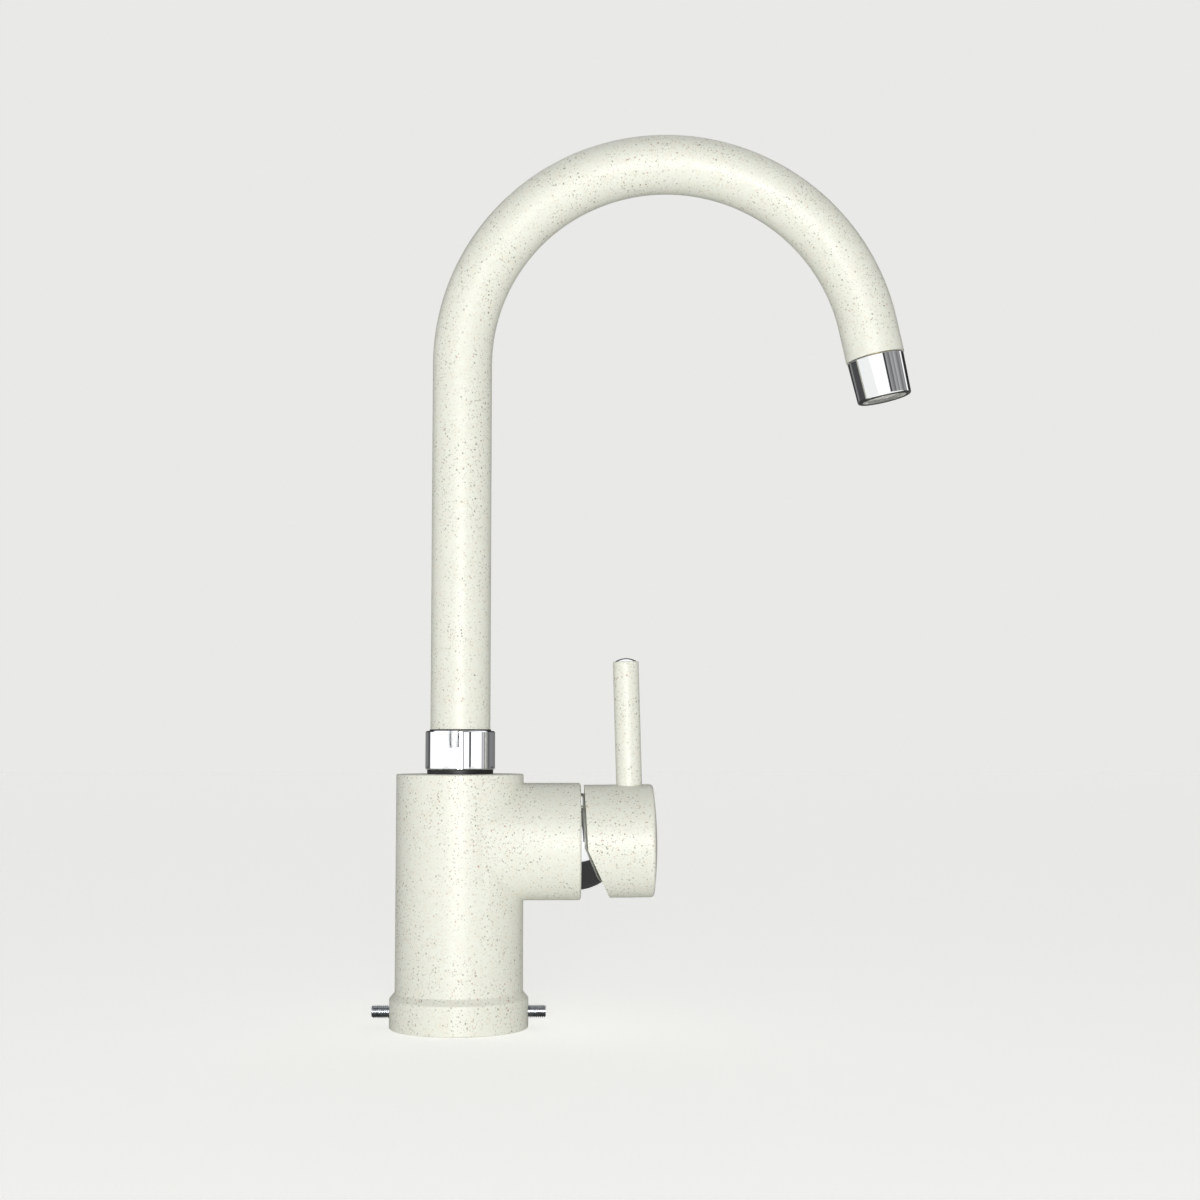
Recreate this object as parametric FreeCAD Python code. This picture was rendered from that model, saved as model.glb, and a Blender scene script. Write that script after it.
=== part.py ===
"""Single-lever kitchen mixer tap with a swivelling gooseneck spout and a side handle.

Frame: millimetres, +Z up, origin on the worktop in the middle of the round base. The spout arches
towards +X, over the side branch that holds the mixing cartridge. The cartridge turns about the branch's
axis, which is parallel to X, and the handle tips about a pin parallel to Y. The handle is drawn as it
rests when the water is shut off.
"""
import FreeCAD, Part
import math
import os

V = FreeCAD.Vector
UP = V(0, 0, 1)
ACROSS = V(0, 1, 0)

# Clearances: of a shaft in its bore, of pieces that are pushed together, and of pieces that pass each other
running_gap = 0.08
slip_gap = 0.15
open_gap = 0.3

# How far a cut reaches past the face it starts from
overshoot = 1.0

# Body casting
body_diameter = 50.0
body_height = 98.5
body_wall = 3.0
body_edge_round = 0.6
skirt_diameter = 54.2
skirt_height = 11.4
skirt_slope_height = 2.5
skirt_bore_diameter = 46.0
skirt_bore_depth = 12.5
hose_cavity_drop = 26.1
branch_step = 0.8
branch_shoulder = 3.5
branch_reach = 47.6
branch_edge_round = 1.2

# Water ways in the casting
inlet_thread_core = 9.0
inlet_depth = 11.0
inlet_spread = 13.6
feed_diameter = 6.0
feed_setback = 5.5
feed_spread = 15.6
feed_slant = 10.0
inlet_port_diameter = 4.8
inlet_port_spread = 12.0
inlet_port_rise = 4.5
outlet_port_diameter = 6.0
outlet_port_drop = 5.5
mix_riser_diameter = 8.0
stem_bore_rest = 2.0

# Base fixing
mount_height = 12.2
mount_bore_diameter = 24.0
mount_groove_depth = 2.0
mount_hole_core = 5.0
mount_hole_spacing = 34.0
base_seal_section = 1.8
lock_screw_diameter = 5.0
lock_screw_length = 13.0
lock_screw_height = 6.2
lock_screw_point_diameter = 2.5
lock_screw_chamfer = 0.6
lock_screw_socket = 2.5
lock_screw_socket_depth = 2.5

# Spout tube
tube_diameter = 23.6
tube_wall = 1.0
bend_radius = 82.5
bend_start_height = 261.8
bend_angle = 167.8
outlet_straight = 14.0

# Spout joint
washer_thickness = 1.7
washer_inset = 0.7
nut_wall = 1.6
nut_height = 15.2
nut_edge_chamfer = 0.5
nut_thread_diameter = 24.0
nut_thread_length = 8.0
nut_flat_depth = 1.2
nut_flat_height = 6.6
nut_flat_turn = -112.0
nut_socket_depth = 9.0
slip_ring_thickness = 1.0
stem_diameter = 20.0
stem_bore = 15.0
stem_reach = 17.5
flange_thickness = 1.1
plug_length = 9.5
o_ring_section = 1.9
o_ring_spacing = 3.0
o_ring_inset = 2.2
clip_thickness = 1.7
clip_bite = 1.1
clip_stand = 1.0
clip_opening = 40.0

# Aerator
socket_length = 10.0
socket_thread_diameter = 19.8
socket_thread_length = 7.0
socket_bore = 16.8
aerator_length = 17.0
aerator_top_diameter = 22.8
aerator_end_diameter = 21.8
aerator_end_round = 0.9
aerator_lip = 1.5
aerator_mouth = 18.0
aerator_washer_thickness = 1.5
insert_diameter = 18.9
insert_grid_thickness = 3.0
insert_wall = 1.0
insert_flange_thickness = 1.2
grid_pitch = 2.3
grid_hole = 1.9
grid_recess = 0.8

# Cartridge, placed from the handle's pin towards the body
pin_setback = 2.2
arm_length = 9.0
ball_diameter = 4.4
arm_diameter = 2.8
driver_diameter = 21.0
driver_flats = 16.0
driver_floor = 0.85
driver_rise = 1.4
driver_lug_width = 3.0
driver_lug_length = 1.6
driver_lug_depth = 1.3
disc_thickness = 3.2
moving_disc_diameter = 21.5
disc_pocket_diameter = 8.8
disc_pocket_slot = 6.4
disc_pocket_reach = 5.4
disc_pocket_depth = 1.6
cartridge_base_thickness = 7.6
cartridge_base_step = 2.5
cartridge_diameter = 35.0
cartridge_wall = 2.7
cartridge_shoulder = 9.0
cartridge_neck_step = 1.1
cartridge_top = 1.0
cartridge_lip = 2.0
port_seal_width = 1.2
port_seal_thickness = 1.5
peg_diameter = 3.6
peg_length = 2.2
peg_spread = 25.0
peg_drop = 3.0
rotor_neck_diameter = 24.0
rotor_rise = 3.4
rotor_slot_length = 12.3
pin_diameter = 3.0
pin_length = 22.0
spindle_width = 7.0
spindle_square_start = 4.5
cartridge_nut_step = 1.5
cartridge_nut_length = 6.8
cartridge_nut_notches = 6
cartridge_nut_notch_width = 4.0
cartridge_nut_notch_depth = 1.5
dome_wall = 1.0
dome_opening = 29.0

# Handle, placed from the pin along the cap's axis
closed_lean = 0.5
cap_play = 0.7
cap_wall = 2.4
cap_rim = 4.6
cap_rim_lean = 2.6
cap_head = 10.3
cap_dome_radius = 161.0
cap_edge_round = 1.4
cap_end_wall = 5.0
cap_bevel_angle = 24.0
cap_bevel_start = 2.3
boss_diameter = 16.0
boss_dip = 1.0
spindle_rise = 3.2
lever_rise = 2.8
lever_diameter = 10.2
lever_lean = 1.0
lever_end = 70.6
lever_edge_round = 0.5
lever_seat_depth = 2.2
post_diameter = 12.0
post_inner_radius = 11.5
post_core_diameter = 8.4
stud_diameter = 5.0
stud_length = 16.0
end_plug_diameter = 9.0
end_plug_depth = 3.0
end_plug_dome = 1.35
set_screw_diameter = 5.0
set_screw_length = 8.0
set_screw_socket = 2.5
set_screw_socket_depth = 2.7
index_plug_diameter = 6.4
index_plug_depth = 2.6

# The nut that clamps the cartridge and the dome cover share the branch's mouth. The cap clears the dome, and
# the branch stands out a little past the cap.
cartridge_inner_radius = cartridge_diameter / 2 - cartridge_wall
fixed_disc_radius = cartridge_inner_radius - open_gap
rotor_radius = cartridge_inner_radius - open_gap
cartridge_neck_radius = cartridge_diameter / 2 - cartridge_neck_step
mouth_thread_radius = cartridge_diameter / 2 + cartridge_nut_step
mouth_radius = mouth_thread_radius + running_gap
dome_radius = mouth_thread_radius
rim_opening_radius = dome_radius + cap_play
cap_radius = rim_opening_radius + cap_wall
branch_radius = cap_radius + branch_step
boss_start = dome_radius - boss_dip
lever_place = dome_radius + lever_rise
spindle_reach = lever_place + spindle_rise
cap_apex = lever_place + cap_head

# The spout's nut clears the tube, and its washer stands back from its edge
nut_radius = tube_diameter / 2 + open_gap + nut_wall
nut_flat_width = 2 * (nut_radius - nut_flat_depth)
washer_radius = nut_radius - washer_inset

# Places that follow from the sizes
branch_axis_height = body_height - branch_shoulder - branch_radius
hose_cavity_height = branch_axis_height - hose_cavity_drop
base_seal_radius = (skirt_diameter + skirt_bore_diameter) / 4
pin_x = branch_reach - pin_setback
ball_socket_radius = ball_diameter / 2 + open_gap
driver_bottom = -arm_length - ball_socket_radius - driver_floor
driver_top = -arm_length + driver_rise
fixed_disc_top = driver_bottom - disc_thickness
cartridge_base_top = fixed_disc_top - disc_thickness
cartridge_bottom = cartridge_base_top - cartridge_base_thickness
chamber_floor_x = pin_x + cartridge_bottom
chamber_radius = cartridge_diameter / 2 + slip_gap
inlet_port_z = branch_axis_height + inlet_port_rise
outlet_port_z = branch_axis_height - outlet_port_drop
nut_bottom_z = body_height - nut_thread_length
nut_base_z = body_height + washer_thickness
nut_top_z = nut_base_z + nut_height
nut_ledge_z = nut_top_z - nut_socket_depth
slip_ring_top_z = nut_ledge_z + slip_ring_thickness
flange_z = slip_ring_top_z + running_gap
tube_start_z = flange_z + flange_thickness
stem_bottom_z = body_height - stem_reach
bore_floor_z = stem_bottom_z - stem_bore_rest
seal_bore_radius = stem_diameter / 2 + running_gap
clip_top_z = nut_bottom_z - open_gap
clip_seat_z = clip_top_z - clip_thickness - open_gap


def turned(points):
    """A solid turned about Z from a closed outline of (radius, height) points."""
    corners = [V(r, 0, z) for r, z in points]
    outline = Part.makePolygon(corners + corners[:1])
    return Part.Face(outline).revolve(V(0, 0, 0), UP, 360)


def ring(outer, inner, low, high):
    """A plain ring about Z, from its two radii and two heights."""
    return turned([(inner, low), (outer, low), (outer, high), (inner, high)])


def rod(radius, start, end):
    """A round bar between two points."""
    way = end.sub(start)
    return Part.makeCylinder(radius, way.Length, start, way)


def o_ring(ring_radius, section, height):
    """A rubber ring about Z, with a round section."""
    return Part.makeTorus(ring_radius, section / 2, V(0, 0, height), UP)


def hex_bar(across_flats, low, high):
    """A six-sided bar about Z."""
    corner = across_flats / math.sqrt(3)
    angles = [math.radians(60 * i) for i in range(7)]
    outline = Part.makePolygon([V(corner * math.cos(a), corner * math.sin(a), low) for a in angles])
    return Part.Face(outline).extrude(V(0, 0, high - low))


def block(x_size, y_size, z_low, z_high):
    """A rectangular bar centred on Z."""
    return Part.makeBox(x_size, y_size, z_high - z_low, V(-x_size / 2, -y_size / 2, z_low))


def rounded(shape, radius, chosen):
    """The shape with the edges that pass the test rounded."""
    edges = [e for e in shape.Edges if not e.Degenerated and chosen(e)]
    return shape.makeFillet(radius, edges)


def is_circle(radius, centre):
    """A test for round edges of one radius about one centre."""
    near = 0.01

    def test(edge):
        curve = edge.Curve
        return (
            isinstance(curve, Part.Circle)
            and abs(curve.Radius - radius) < near
            and curve.Center.distanceToPoint(centre) < near
        )

    return test


def on_branch(shape):
    """Lays a shape that is built about Z, with its zero at the handle's pin, along the branch."""
    laid = shape.copy()
    laid.rotate(V(0, 0, 0), ACROSS, 90)
    laid.translate(V(pin_x, 0, branch_axis_height))
    return laid


def on_handle(shape):
    """As on_branch, then leans the shape back to where the handle rests."""
    leaned = on_branch(shape)
    leaned.rotate(V(pin_x, 0, branch_axis_height), ACROSS, -closed_lean)
    return leaned


def at_outlet(shape):
    """Puts a shape that is built about Z, with its zero at the tube's end, on the spout's outlet."""
    turn = math.radians(bend_angle)
    end = V(bend_radius * (1 - math.cos(turn)), 0, bend_start_height + bend_radius * math.sin(turn))
    heading = V(math.sin(turn), 0, math.cos(turn))
    moved = shape.copy()
    moved.rotate(V(0, 0, 0), ACROSS, bend_angle)
    moved.translate(end + heading * outlet_straight)
    return moved


def at_lock_screws(shape):
    """Two copies of a shape that is built about Z, pointing out of the skirt on both sides."""
    copies = []
    for angle in (0, 180):
        copy = shape.copy()
        copy.rotate(V(0, 0, 0), ACROSS, 90)
        copy.rotate(V(0, 0, 0), UP, angle)
        copy.translate(V(0, 0, lock_screw_height))
        copies.append(copy)
    return copies


def port_places():
    """The (across, up, diameter) of the cartridge's ports: two inlets and the mixed outlet."""
    side = inlet_port_spread / 2
    return [
        (-side, inlet_port_rise, inlet_port_diameter),
        (side, inlet_port_rise, inlet_port_diameter),
        (0, -outlet_port_drop, outlet_port_diameter),
    ]


def at_port(shape, across, up):
    """Moves a shape about Z to a place on the cartridge, whose up side is -X before it is laid down."""
    moved = shape.copy()
    moved.translate(V(-up, across, 0))
    return moved


def body_shell():
    """The outside of the casting: skirt, barrel and side branch."""
    barrel_r = body_diameter / 2
    skirt_r = skirt_diameter / 2
    slope_top = skirt_height + skirt_slope_height
    barrel = turned([
        (0, 0), (skirt_r, 0), (skirt_r, skirt_height), (barrel_r, slope_top), (barrel_r, body_height),
        (0, body_height),
    ])
    branch_end = V(branch_reach, 0, branch_axis_height)
    branch = rod(branch_radius, V(0, 0, branch_axis_height), branch_end)
    shell = barrel.fuse(branch).removeSplitter()
    shell = rounded(shell, body_edge_round, is_circle(barrel_r, V(0, 0, body_height)))
    shell = rounded(shell, body_edge_round, is_circle(skirt_r, V(0, 0, 0)))
    return rounded(shell, branch_edge_round, is_circle(branch_radius, branch_end))


def water_ways():
    """The two inlets with their feeds, the mixed outlet and the bore for the spout's stem."""
    ways = []
    feed_r = feed_diameter / 2
    port_r = inlet_port_diameter / 2
    feed_x = chamber_floor_x - feed_setback
    thread_end_z = hose_cavity_height + inlet_depth
    for side in (-1, 1):
        thread_y = side * inlet_spread / 2
        feed_y = side * feed_spread / 2
        port_y = side * inlet_port_spread / 2
        thread_end = V(0, thread_y, thread_end_z)
        bend = V(feed_x, feed_y, thread_end_z + feed_slant)
        feed_end = V(feed_x, feed_y, inlet_port_z)
        ways.append(rod(inlet_thread_core / 2, V(0, thread_y, hose_cavity_height), thread_end))
        ways.append(rod(feed_r, thread_end, bend))
        ways.append(rod(feed_r, bend, feed_end))
        ways += [Part.makeSphere(feed_r, place) for place in (thread_end, bend, feed_end)]
        port = V(chamber_floor_x, port_y, inlet_port_z)
        ways.append(rod(port_r, feed_end, port + (port - feed_end) * (port_r / feed_setback)))
    mix_start = V(0, 0, outlet_port_z)
    ways.append(rod(outlet_port_diameter / 2, mix_start, V(chamber_floor_x, 0, outlet_port_z)))
    ways.append(rod(mix_riser_diameter / 2, mix_start, V(0, 0, bore_floor_z)))
    ways.append(Part.makeSphere(mix_riser_diameter / 2, mix_start))
    ways.append(spout_bore())
    return ways


def spout_bore():
    """The bore in the casting's top: threaded for the nut, relieved for the clip, smooth for the seals."""
    thread_r = nut_thread_diameter / 2 + running_gap
    relief_r = stem_diameter / 2 + clip_stand + open_gap
    smooth_r = seal_bore_radius
    return turned([
        (0, bore_floor_z), (smooth_r, bore_floor_z), (smooth_r, clip_seat_z), (relief_r, clip_seat_z),
        (relief_r, clip_top_z), (thread_r, clip_top_z), (thread_r, body_height), (0, body_height),
    ])


def cartridge_chamber():
    """The stepped bore along the branch that takes the cartridge, its nut and the dome cover."""
    steps = turned([
        (0, cartridge_bottom), (chamber_radius, cartridge_bottom), (chamber_radius, -cartridge_shoulder),
        (mouth_radius, -cartridge_shoulder), (mouth_radius, pin_setback), (0, pin_setback),
    ])
    return on_branch(steps.fuse(locating_pegs(slip_gap)))


def locating_pegs(clearance):
    """The cartridge's two pegs that stop it turning in its chamber, or their holes when given a clearance."""
    low = cartridge_bottom - peg_length - clearance
    peg = Part.makeCylinder(peg_diameter / 2 + clearance, cartridge_bottom - low + running_gap, V(0, 0, low))
    return [at_port(peg, side * peg_spread / 2, -peg_drop) for side in (-1, 1)]


def base_hollows():
    """The skirt's bore, the hose space above it, the seal's groove and the holes for the lock screws."""
    bore_r = skirt_bore_diameter / 2
    cavity_r = body_diameter / 2 - body_wall
    hollow = turned([
        (0, 0), (bore_r, 0), (bore_r, skirt_bore_depth), (cavity_r, skirt_bore_depth),
        (cavity_r, hose_cavity_height), (0, hose_cavity_height),
    ])
    half_seal = base_seal_section / 2
    groove = ring(base_seal_radius + half_seal, base_seal_radius - half_seal, 0, base_seal_section)
    hole_r = lock_screw_diameter / 2 + running_gap
    holes = at_lock_screws(Part.makeCylinder(hole_r, skirt_diameter, V(0, 0, 0)))
    return [hollow, groove] + holes


def body_casting():
    """The brass casting that everything else is fixed to."""
    return body_shell().cut(water_ways() + [cartridge_chamber()] + base_hollows())


def mounting_base():
    """The ring that is screwed to the worktop first. The skirt drops over it, and the lock screws reach
    into its groove."""
    outer = skirt_bore_diameter / 2 - slip_gap
    bore = mount_bore_diameter / 2
    floor_half = lock_screw_point_diameter / 2
    groove_half = floor_half + mount_groove_depth
    deep = outer - mount_groove_depth
    middle = lock_screw_height
    base = turned([
        (bore, 0), (outer, 0), (outer, middle - groove_half), (deep, middle - floor_half),
        (deep, middle + floor_half), (outer, middle + groove_half), (outer, mount_height),
        (bore, mount_height),
    ])
    half = mount_hole_spacing / 2
    holes = [Part.makeCylinder(mount_hole_core / 2, mount_height, V(x, 0, 0)) for x in (-half, half)]
    return base.cut(holes)


def base_seal():
    """The square rubber ring in the skirt's groove, flush with its foot."""
    half = base_seal_section / 2 - running_gap
    return ring(base_seal_radius + half, base_seal_radius - half, 0, base_seal_section - running_gap)


def lock_screws():
    """Two socket screws through the skirt, with cone points in the mounting base's groove."""
    radius = lock_screw_diameter / 2
    point = lock_screw_point_diameter / 2
    edge = lock_screw_chamfer
    tip = skirt_bore_diameter / 2 - slip_gap - mount_groove_depth + running_gap
    end = tip + lock_screw_length
    screw = turned([
        (0, tip), (point, tip), (radius, tip + radius - point), (radius, end - edge), (radius - edge, end),
        (0, end),
    ])
    screw = screw.cut(hex_bar(lock_screw_socket, end - lock_screw_socket_depth, end))
    return Part.makeCompound(at_lock_screws(screw))


def spout_washer():
    """The black slip washer between the nut and the top of the body."""
    return ring(washer_radius, nut_thread_diameter / 2 + running_gap, body_height, nut_base_z)


def spout_nut():
    """The chromed nut that holds the spout's stem down and lets it turn, with two flats for a spanner."""
    outer = nut_radius
    thread = nut_thread_diameter / 2
    socket = nut_radius - nut_wall
    edge = nut_edge_chamfer
    nut = turned([
        (seal_bore_radius, nut_bottom_z), (thread, nut_bottom_z), (thread, nut_base_z),
        (outer - edge, nut_base_z), (outer, nut_base_z + edge), (outer, nut_top_z - edge),
        (outer - edge, nut_top_z), (socket, nut_top_z), (socket, nut_ledge_z),
        (seal_bore_radius, nut_ledge_z),
    ])
    low = nut_top_z - nut_flat_height
    across = block(nut_flat_width, 4 * outer, low, nut_top_z)
    jaws = Part.makeCylinder(2 * outer, nut_flat_height, V(0, 0, low)).cut(across)
    jaws.rotate(V(0, 0, 0), UP, nut_flat_turn)
    return nut.cut(jaws)


def spout_slip_ring():
    """The plastic ring that the spout's flange turns on, inside the nut."""
    outer = tube_diameter / 2 + slip_gap
    return ring(outer, seal_bore_radius, nut_ledge_z, slip_ring_top_z)


def tube_path():
    """The centre line of the gooseneck: up, round the bend and straight on to the outlet."""
    turn = math.radians(bend_angle)
    centre = V(bend_radius, 0, bend_start_height)

    def on_bend(angle):
        return centre + V(-bend_radius * math.cos(angle), 0, bend_radius * math.sin(angle))

    start = V(0, 0, tube_start_z)
    rise_end = V(0, 0, bend_start_height)
    heading = V(math.sin(turn), 0, math.cos(turn))
    bend = Part.Arc(rise_end, on_bend(turn / 2), on_bend(turn))
    rise = Part.LineSegment(start, rise_end)
    outlet = Part.LineSegment(on_bend(turn), on_bend(turn) + heading * outlet_straight)
    return Part.Wire([rise.toShape(), bend.toShape(), outlet.toShape()])


def spout_tube():
    """The bent brass tube of the spout, open at both ends."""
    path = tube_path()
    pipes = []
    for radius in (tube_diameter / 2, tube_diameter / 2 - tube_wall):
        circle = Part.Wire(Part.makeCircle(radius, V(0, 0, tube_start_z), UP))
        pipes.append(path.makePipeShell([circle], True, False))
    return pipes[0].cut(pipes[1])


def spout_stem():
    """The turned brass end of the spout, with grooves for the clip and the two seals."""
    r = stem_diameter / 2
    bore = stem_bore / 2
    plug = tube_diameter / 2 - tube_wall - running_gap
    flange = tube_diameter / 2 - running_gap
    stem = turned([
        (bore, stem_bottom_z), (r, stem_bottom_z), (r, flange_z), (flange, flange_z), (flange, tube_start_z),
        (plug, tube_start_z), (plug, tube_start_z + plug_length), (bore, tube_start_z + plug_length),
    ])
    clip_low = clip_top_z - clip_thickness
    grooves = [ring(r + overshoot, r - clip_bite, clip_low - running_gap, clip_top_z + running_gap)]
    half = o_ring_section / 2 + running_gap
    for z in seal_heights():
        grooves.append(ring(r + overshoot, seal_middle_radius() - half, z - half, z + half))
    return stem.cut(grooves)


def seal_middle_radius():
    """The radius of the middle of the rubber rings' section, just clear of the bore."""
    return seal_bore_radius - running_gap - o_ring_section / 2


def seal_heights():
    """The heights of the stem's two rubber rings."""
    first = stem_bottom_z + o_ring_inset
    return (first, first + o_ring_spacing)


def spout_seals():
    """The two rubber rings that seal the stem in the body's bore."""
    return Part.makeCompound([o_ring(seal_middle_radius(), o_ring_section, z) for z in seal_heights()])


def spout_clip():
    """The spring clip on the stem that stops the spout being pulled out past the nut."""
    r = stem_diameter / 2
    clip = ring(r + clip_stand, r - clip_bite + running_gap, clip_top_z - clip_thickness, clip_top_z)
    reach = stem_diameter
    half = math.radians(clip_opening / 2)
    mouth = Part.makePolygon([
        V(0, 0, 0), V(reach * math.cos(half), reach * math.sin(half), 0),
        V(reach * math.cos(half), -reach * math.sin(half), 0), V(0, 0, 0),
    ])
    gap = Part.Face(mouth).extrude(V(0, 0, clip_thickness))
    gap.translate(V(0, 0, clip_top_z - clip_thickness))
    return clip.cut(gap)


def outlet_socket():
    """The threaded brass socket in the end of the tube that the aerator screws on."""
    plug = tube_diameter / 2 - tube_wall - running_gap
    thread = socket_thread_diameter / 2
    socket = turned([
        (socket_bore / 2, -socket_length), (plug, -socket_length), (plug, 0), (thread, 0),
        (thread, socket_thread_length), (socket_bore / 2, socket_thread_length),
    ])
    return at_outlet(socket)


def aerator_housing():
    """The chromed sleeve at the outlet, slightly tapered, with a lip that holds the insert."""
    top = aerator_top_diameter / 2
    end = aerator_end_diameter / 2
    thread = socket_thread_diameter / 2 + running_gap
    start = open_gap
    close = open_gap + aerator_length
    sleeve = turned([
        (thread, start), (top, start), (end, close), (aerator_mouth / 2, close),
        (aerator_mouth / 2, close - aerator_lip), (thread, close - aerator_lip),
    ])
    return at_outlet(rounded(sleeve, aerator_end_round, is_circle(end, V(0, 0, close))))


def aerator_washer():
    """The flat rubber washer between the socket's end and the insert."""
    low = socket_thread_length + running_gap
    outer = socket_thread_diameter / 2 - running_gap
    return at_outlet(ring(outer, socket_bore / 2, low, low + aerator_washer_thickness))


def grid_holes(low, high):
    """Six-sided holes on a honeycomb, as many as fit inside the insert's wall, flat towards flat."""
    half_corner = 30
    reach = insert_diameter / 2 - insert_wall - grid_hole / 2
    count = int(reach / grid_pitch) + 1
    cell = hex_bar(grid_hole, low, high)
    cell.rotate(V(0, 0, 0), UP, half_corner)
    holes = []
    for row in range(-count, count + 1):
        for column in range(-2 * count, 2 * count + 1):
            x = grid_pitch * (column + row / 2)
            y = grid_pitch * row * math.sqrt(3) / 2
            if math.hypot(x, y) <= reach:
                hole = cell.copy()
                hole.translate(V(x, y, 0))
                holes.append(hole)
    return holes


def aerator_insert():
    """The plastic insert that mixes air into the water: a cup with a honeycomb floor."""
    outer = insert_diameter / 2
    flange = socket_thread_diameter / 2 - running_gap
    low = socket_thread_length + aerator_washer_thickness + 2 * running_gap
    high = open_gap + aerator_length - aerator_lip - running_gap
    grid_low = high - insert_grid_thickness
    cup = turned([
        (0, grid_low), (outer - insert_wall, grid_low), (outer - insert_wall, low), (flange, low),
        (flange, low + insert_flange_thickness), (outer, low + insert_flange_thickness), (outer, high),
        (outer - insert_wall, high), (outer - insert_wall, high - grid_recess), (0, high - grid_recess),
    ])
    return at_outlet(cup.cut(grid_holes(grid_low - overshoot, high + overshoot)))


def cartridge_base():
    """The plastic floor of the cartridge, with its three ports and a recess for each seal."""
    outer = cartridge_inner_radius - running_gap
    step = cartridge_bottom + cartridge_base_step
    floor = turned([
        (0, cartridge_bottom), (cartridge_diameter / 2, cartridge_bottom), (cartridge_diameter / 2, step),
        (outer, step), (outer, cartridge_base_top), (0, cartridge_base_top),
    ]).fuse(locating_pegs(0))
    tools = []
    for across, up, bore in port_places():
        hole = Part.makeCylinder(bore / 2, cartridge_base_thickness, V(0, 0, cartridge_bottom))
        recess_r = bore / 2 + port_seal_width + running_gap
        recess = Part.makeCylinder(recess_r, port_seal_thickness, V(0, 0, cartridge_bottom))
        tools += [at_port(hole, across, up), at_port(recess, across, up)]
    return on_branch(floor.cut(tools))


def port_seals():
    """The three rubber rings between the cartridge and the floor of its chamber."""
    seals = []
    for across, up, bore in port_places():
        high = cartridge_bottom + port_seal_thickness - running_gap
        seal = ring(bore / 2 + port_seal_width, bore / 2, cartridge_bottom, high)
        seals.append(on_branch(at_port(seal, across, up)))
    return Part.makeCompound(seals)


def fixed_disc():
    """The ceramic disc that stays still, with the three ports through it."""
    disc = Part.makeCylinder(fixed_disc_radius, disc_thickness, V(0, 0, cartridge_base_top))
    holes = []
    for across, up, bore in port_places():
        hole = Part.makeCylinder(bore / 2, disc_thickness, V(0, 0, cartridge_base_top))
        holes.append(at_port(hole, across, up))
    return on_branch(disc.cut(holes))


def moving_disc():
    """The ceramic disc that slides and turns on the fixed one.

    The keyhole pocket in its face stays over the outlet. When the disc slides up it reaches the inlets, and
    when the disc is turned as well it reaches one inlet more than the other.
    """
    low = fixed_disc_top + running_gap
    disc = Part.makeCylinder(moving_disc_diameter / 2, driver_bottom - low, V(0, 0, low))
    depth = disc_pocket_depth
    eye = Part.makeCylinder(disc_pocket_diameter / 2, depth, V(0, 0, low))
    foot = Part.makeCylinder(disc_pocket_slot / 2, depth, V(disc_pocket_reach, 0, low))
    slot = Part.makeBox(disc_pocket_reach, disc_pocket_slot, depth, V(0, -disc_pocket_slot / 2, low))
    moved = on_branch(disc.cut([eye, foot, slot] + driver_lugs(slip_gap)))
    moved.translate(V(0, 0, disc_rest()))
    return moved


def driver_lugs(clearance):
    """The driver's two lugs that hold the moving disc, or the disc's notches when given a clearance."""
    reach = moving_disc_diameter / 2
    inner = driver_diameter / 2 - driver_lug_length - clearance
    width = driver_lug_width + 2 * clearance
    depth = driver_lug_depth + clearance
    start = V(inner, -width / 2, driver_bottom - depth)
    lug = Part.makeBox(reach - inner, width, depth + driver_floor / 2, start)
    other = lug.copy()
    other.rotate(V(0, 0, 0), UP, 180)
    return [lug, other]


def disc_rest():
    """How far off the branch's axis the disc stands when the handle leans back."""
    return -arm_length * math.sin(math.radians(closed_lean))


def disc_driver():
    """The plastic slide that carries the moving disc, with a socket for the ball of the handle's arm."""
    driver = Part.makeCylinder(driver_diameter / 2, driver_top - driver_bottom, V(0, 0, driver_bottom))
    driver = driver.common(block(2 * driver_diameter, driver_flats, driver_bottom, driver_top))
    lug_low = driver_bottom - driver_lug_depth
    rim = Part.makeCylinder(driver_diameter / 2, driver_top - lug_low, V(0, 0, lug_low))
    driver = driver.fuse([lug.common(rim) for lug in driver_lugs(0)]).removeSplitter()
    socket_floor = driver_bottom + driver_floor
    socket = Part.makeCylinder(ball_socket_radius, driver_top - socket_floor, V(0, 0, socket_floor))
    moved = on_branch(driver.cut(socket))
    moved.translate(V(0, 0, disc_rest()))
    return moved


def cartridge_housing():
    """The cartridge's shell: a wide barrel, a narrower neck for the nut and a lip that keeps the rotor in."""
    wide = cartridge_diameter / 2
    neck = cartridge_neck_radius
    inner = cartridge_inner_radius
    low = cartridge_bottom + cartridge_base_step + running_gap
    lip_low = -cartridge_top - cartridge_lip
    mouth = rotor_neck_diameter / 2 + open_gap
    shell = turned([
        (inner, low), (wide, low), (wide, -cartridge_shoulder), (neck, -cartridge_shoulder),
        (neck, -cartridge_top), (mouth, -cartridge_top), (mouth, lip_low), (inner, lip_low),
    ])
    return on_branch(shell)


def cartridge_rotor():
    """The turret that turns with the handle. It holds the pin, and its two cheeks guide the driver."""
    wide = rotor_radius
    neck = rotor_neck_diameter / 2
    bottom = driver_bottom + open_gap
    step = -cartridge_top - cartridge_lip - open_gap
    turret = turned([
        (0, bottom), (wide, bottom), (wide, step), (neck, step), (neck, rotor_rise), (0, rotor_rise),
    ])
    guide = block(4 * rotor_radius, driver_flats + 2 * open_gap, bottom, driver_top + open_gap)
    slot = block(rotor_slot_length, spindle_width + 2 * open_gap, bottom, rotor_rise)
    pin_hole = rod(pin_diameter / 2 + running_gap, V(0, -neck, 0), V(0, neck, 0))
    return on_branch(turret.cut([guide, slot, pin_hole]))


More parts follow.
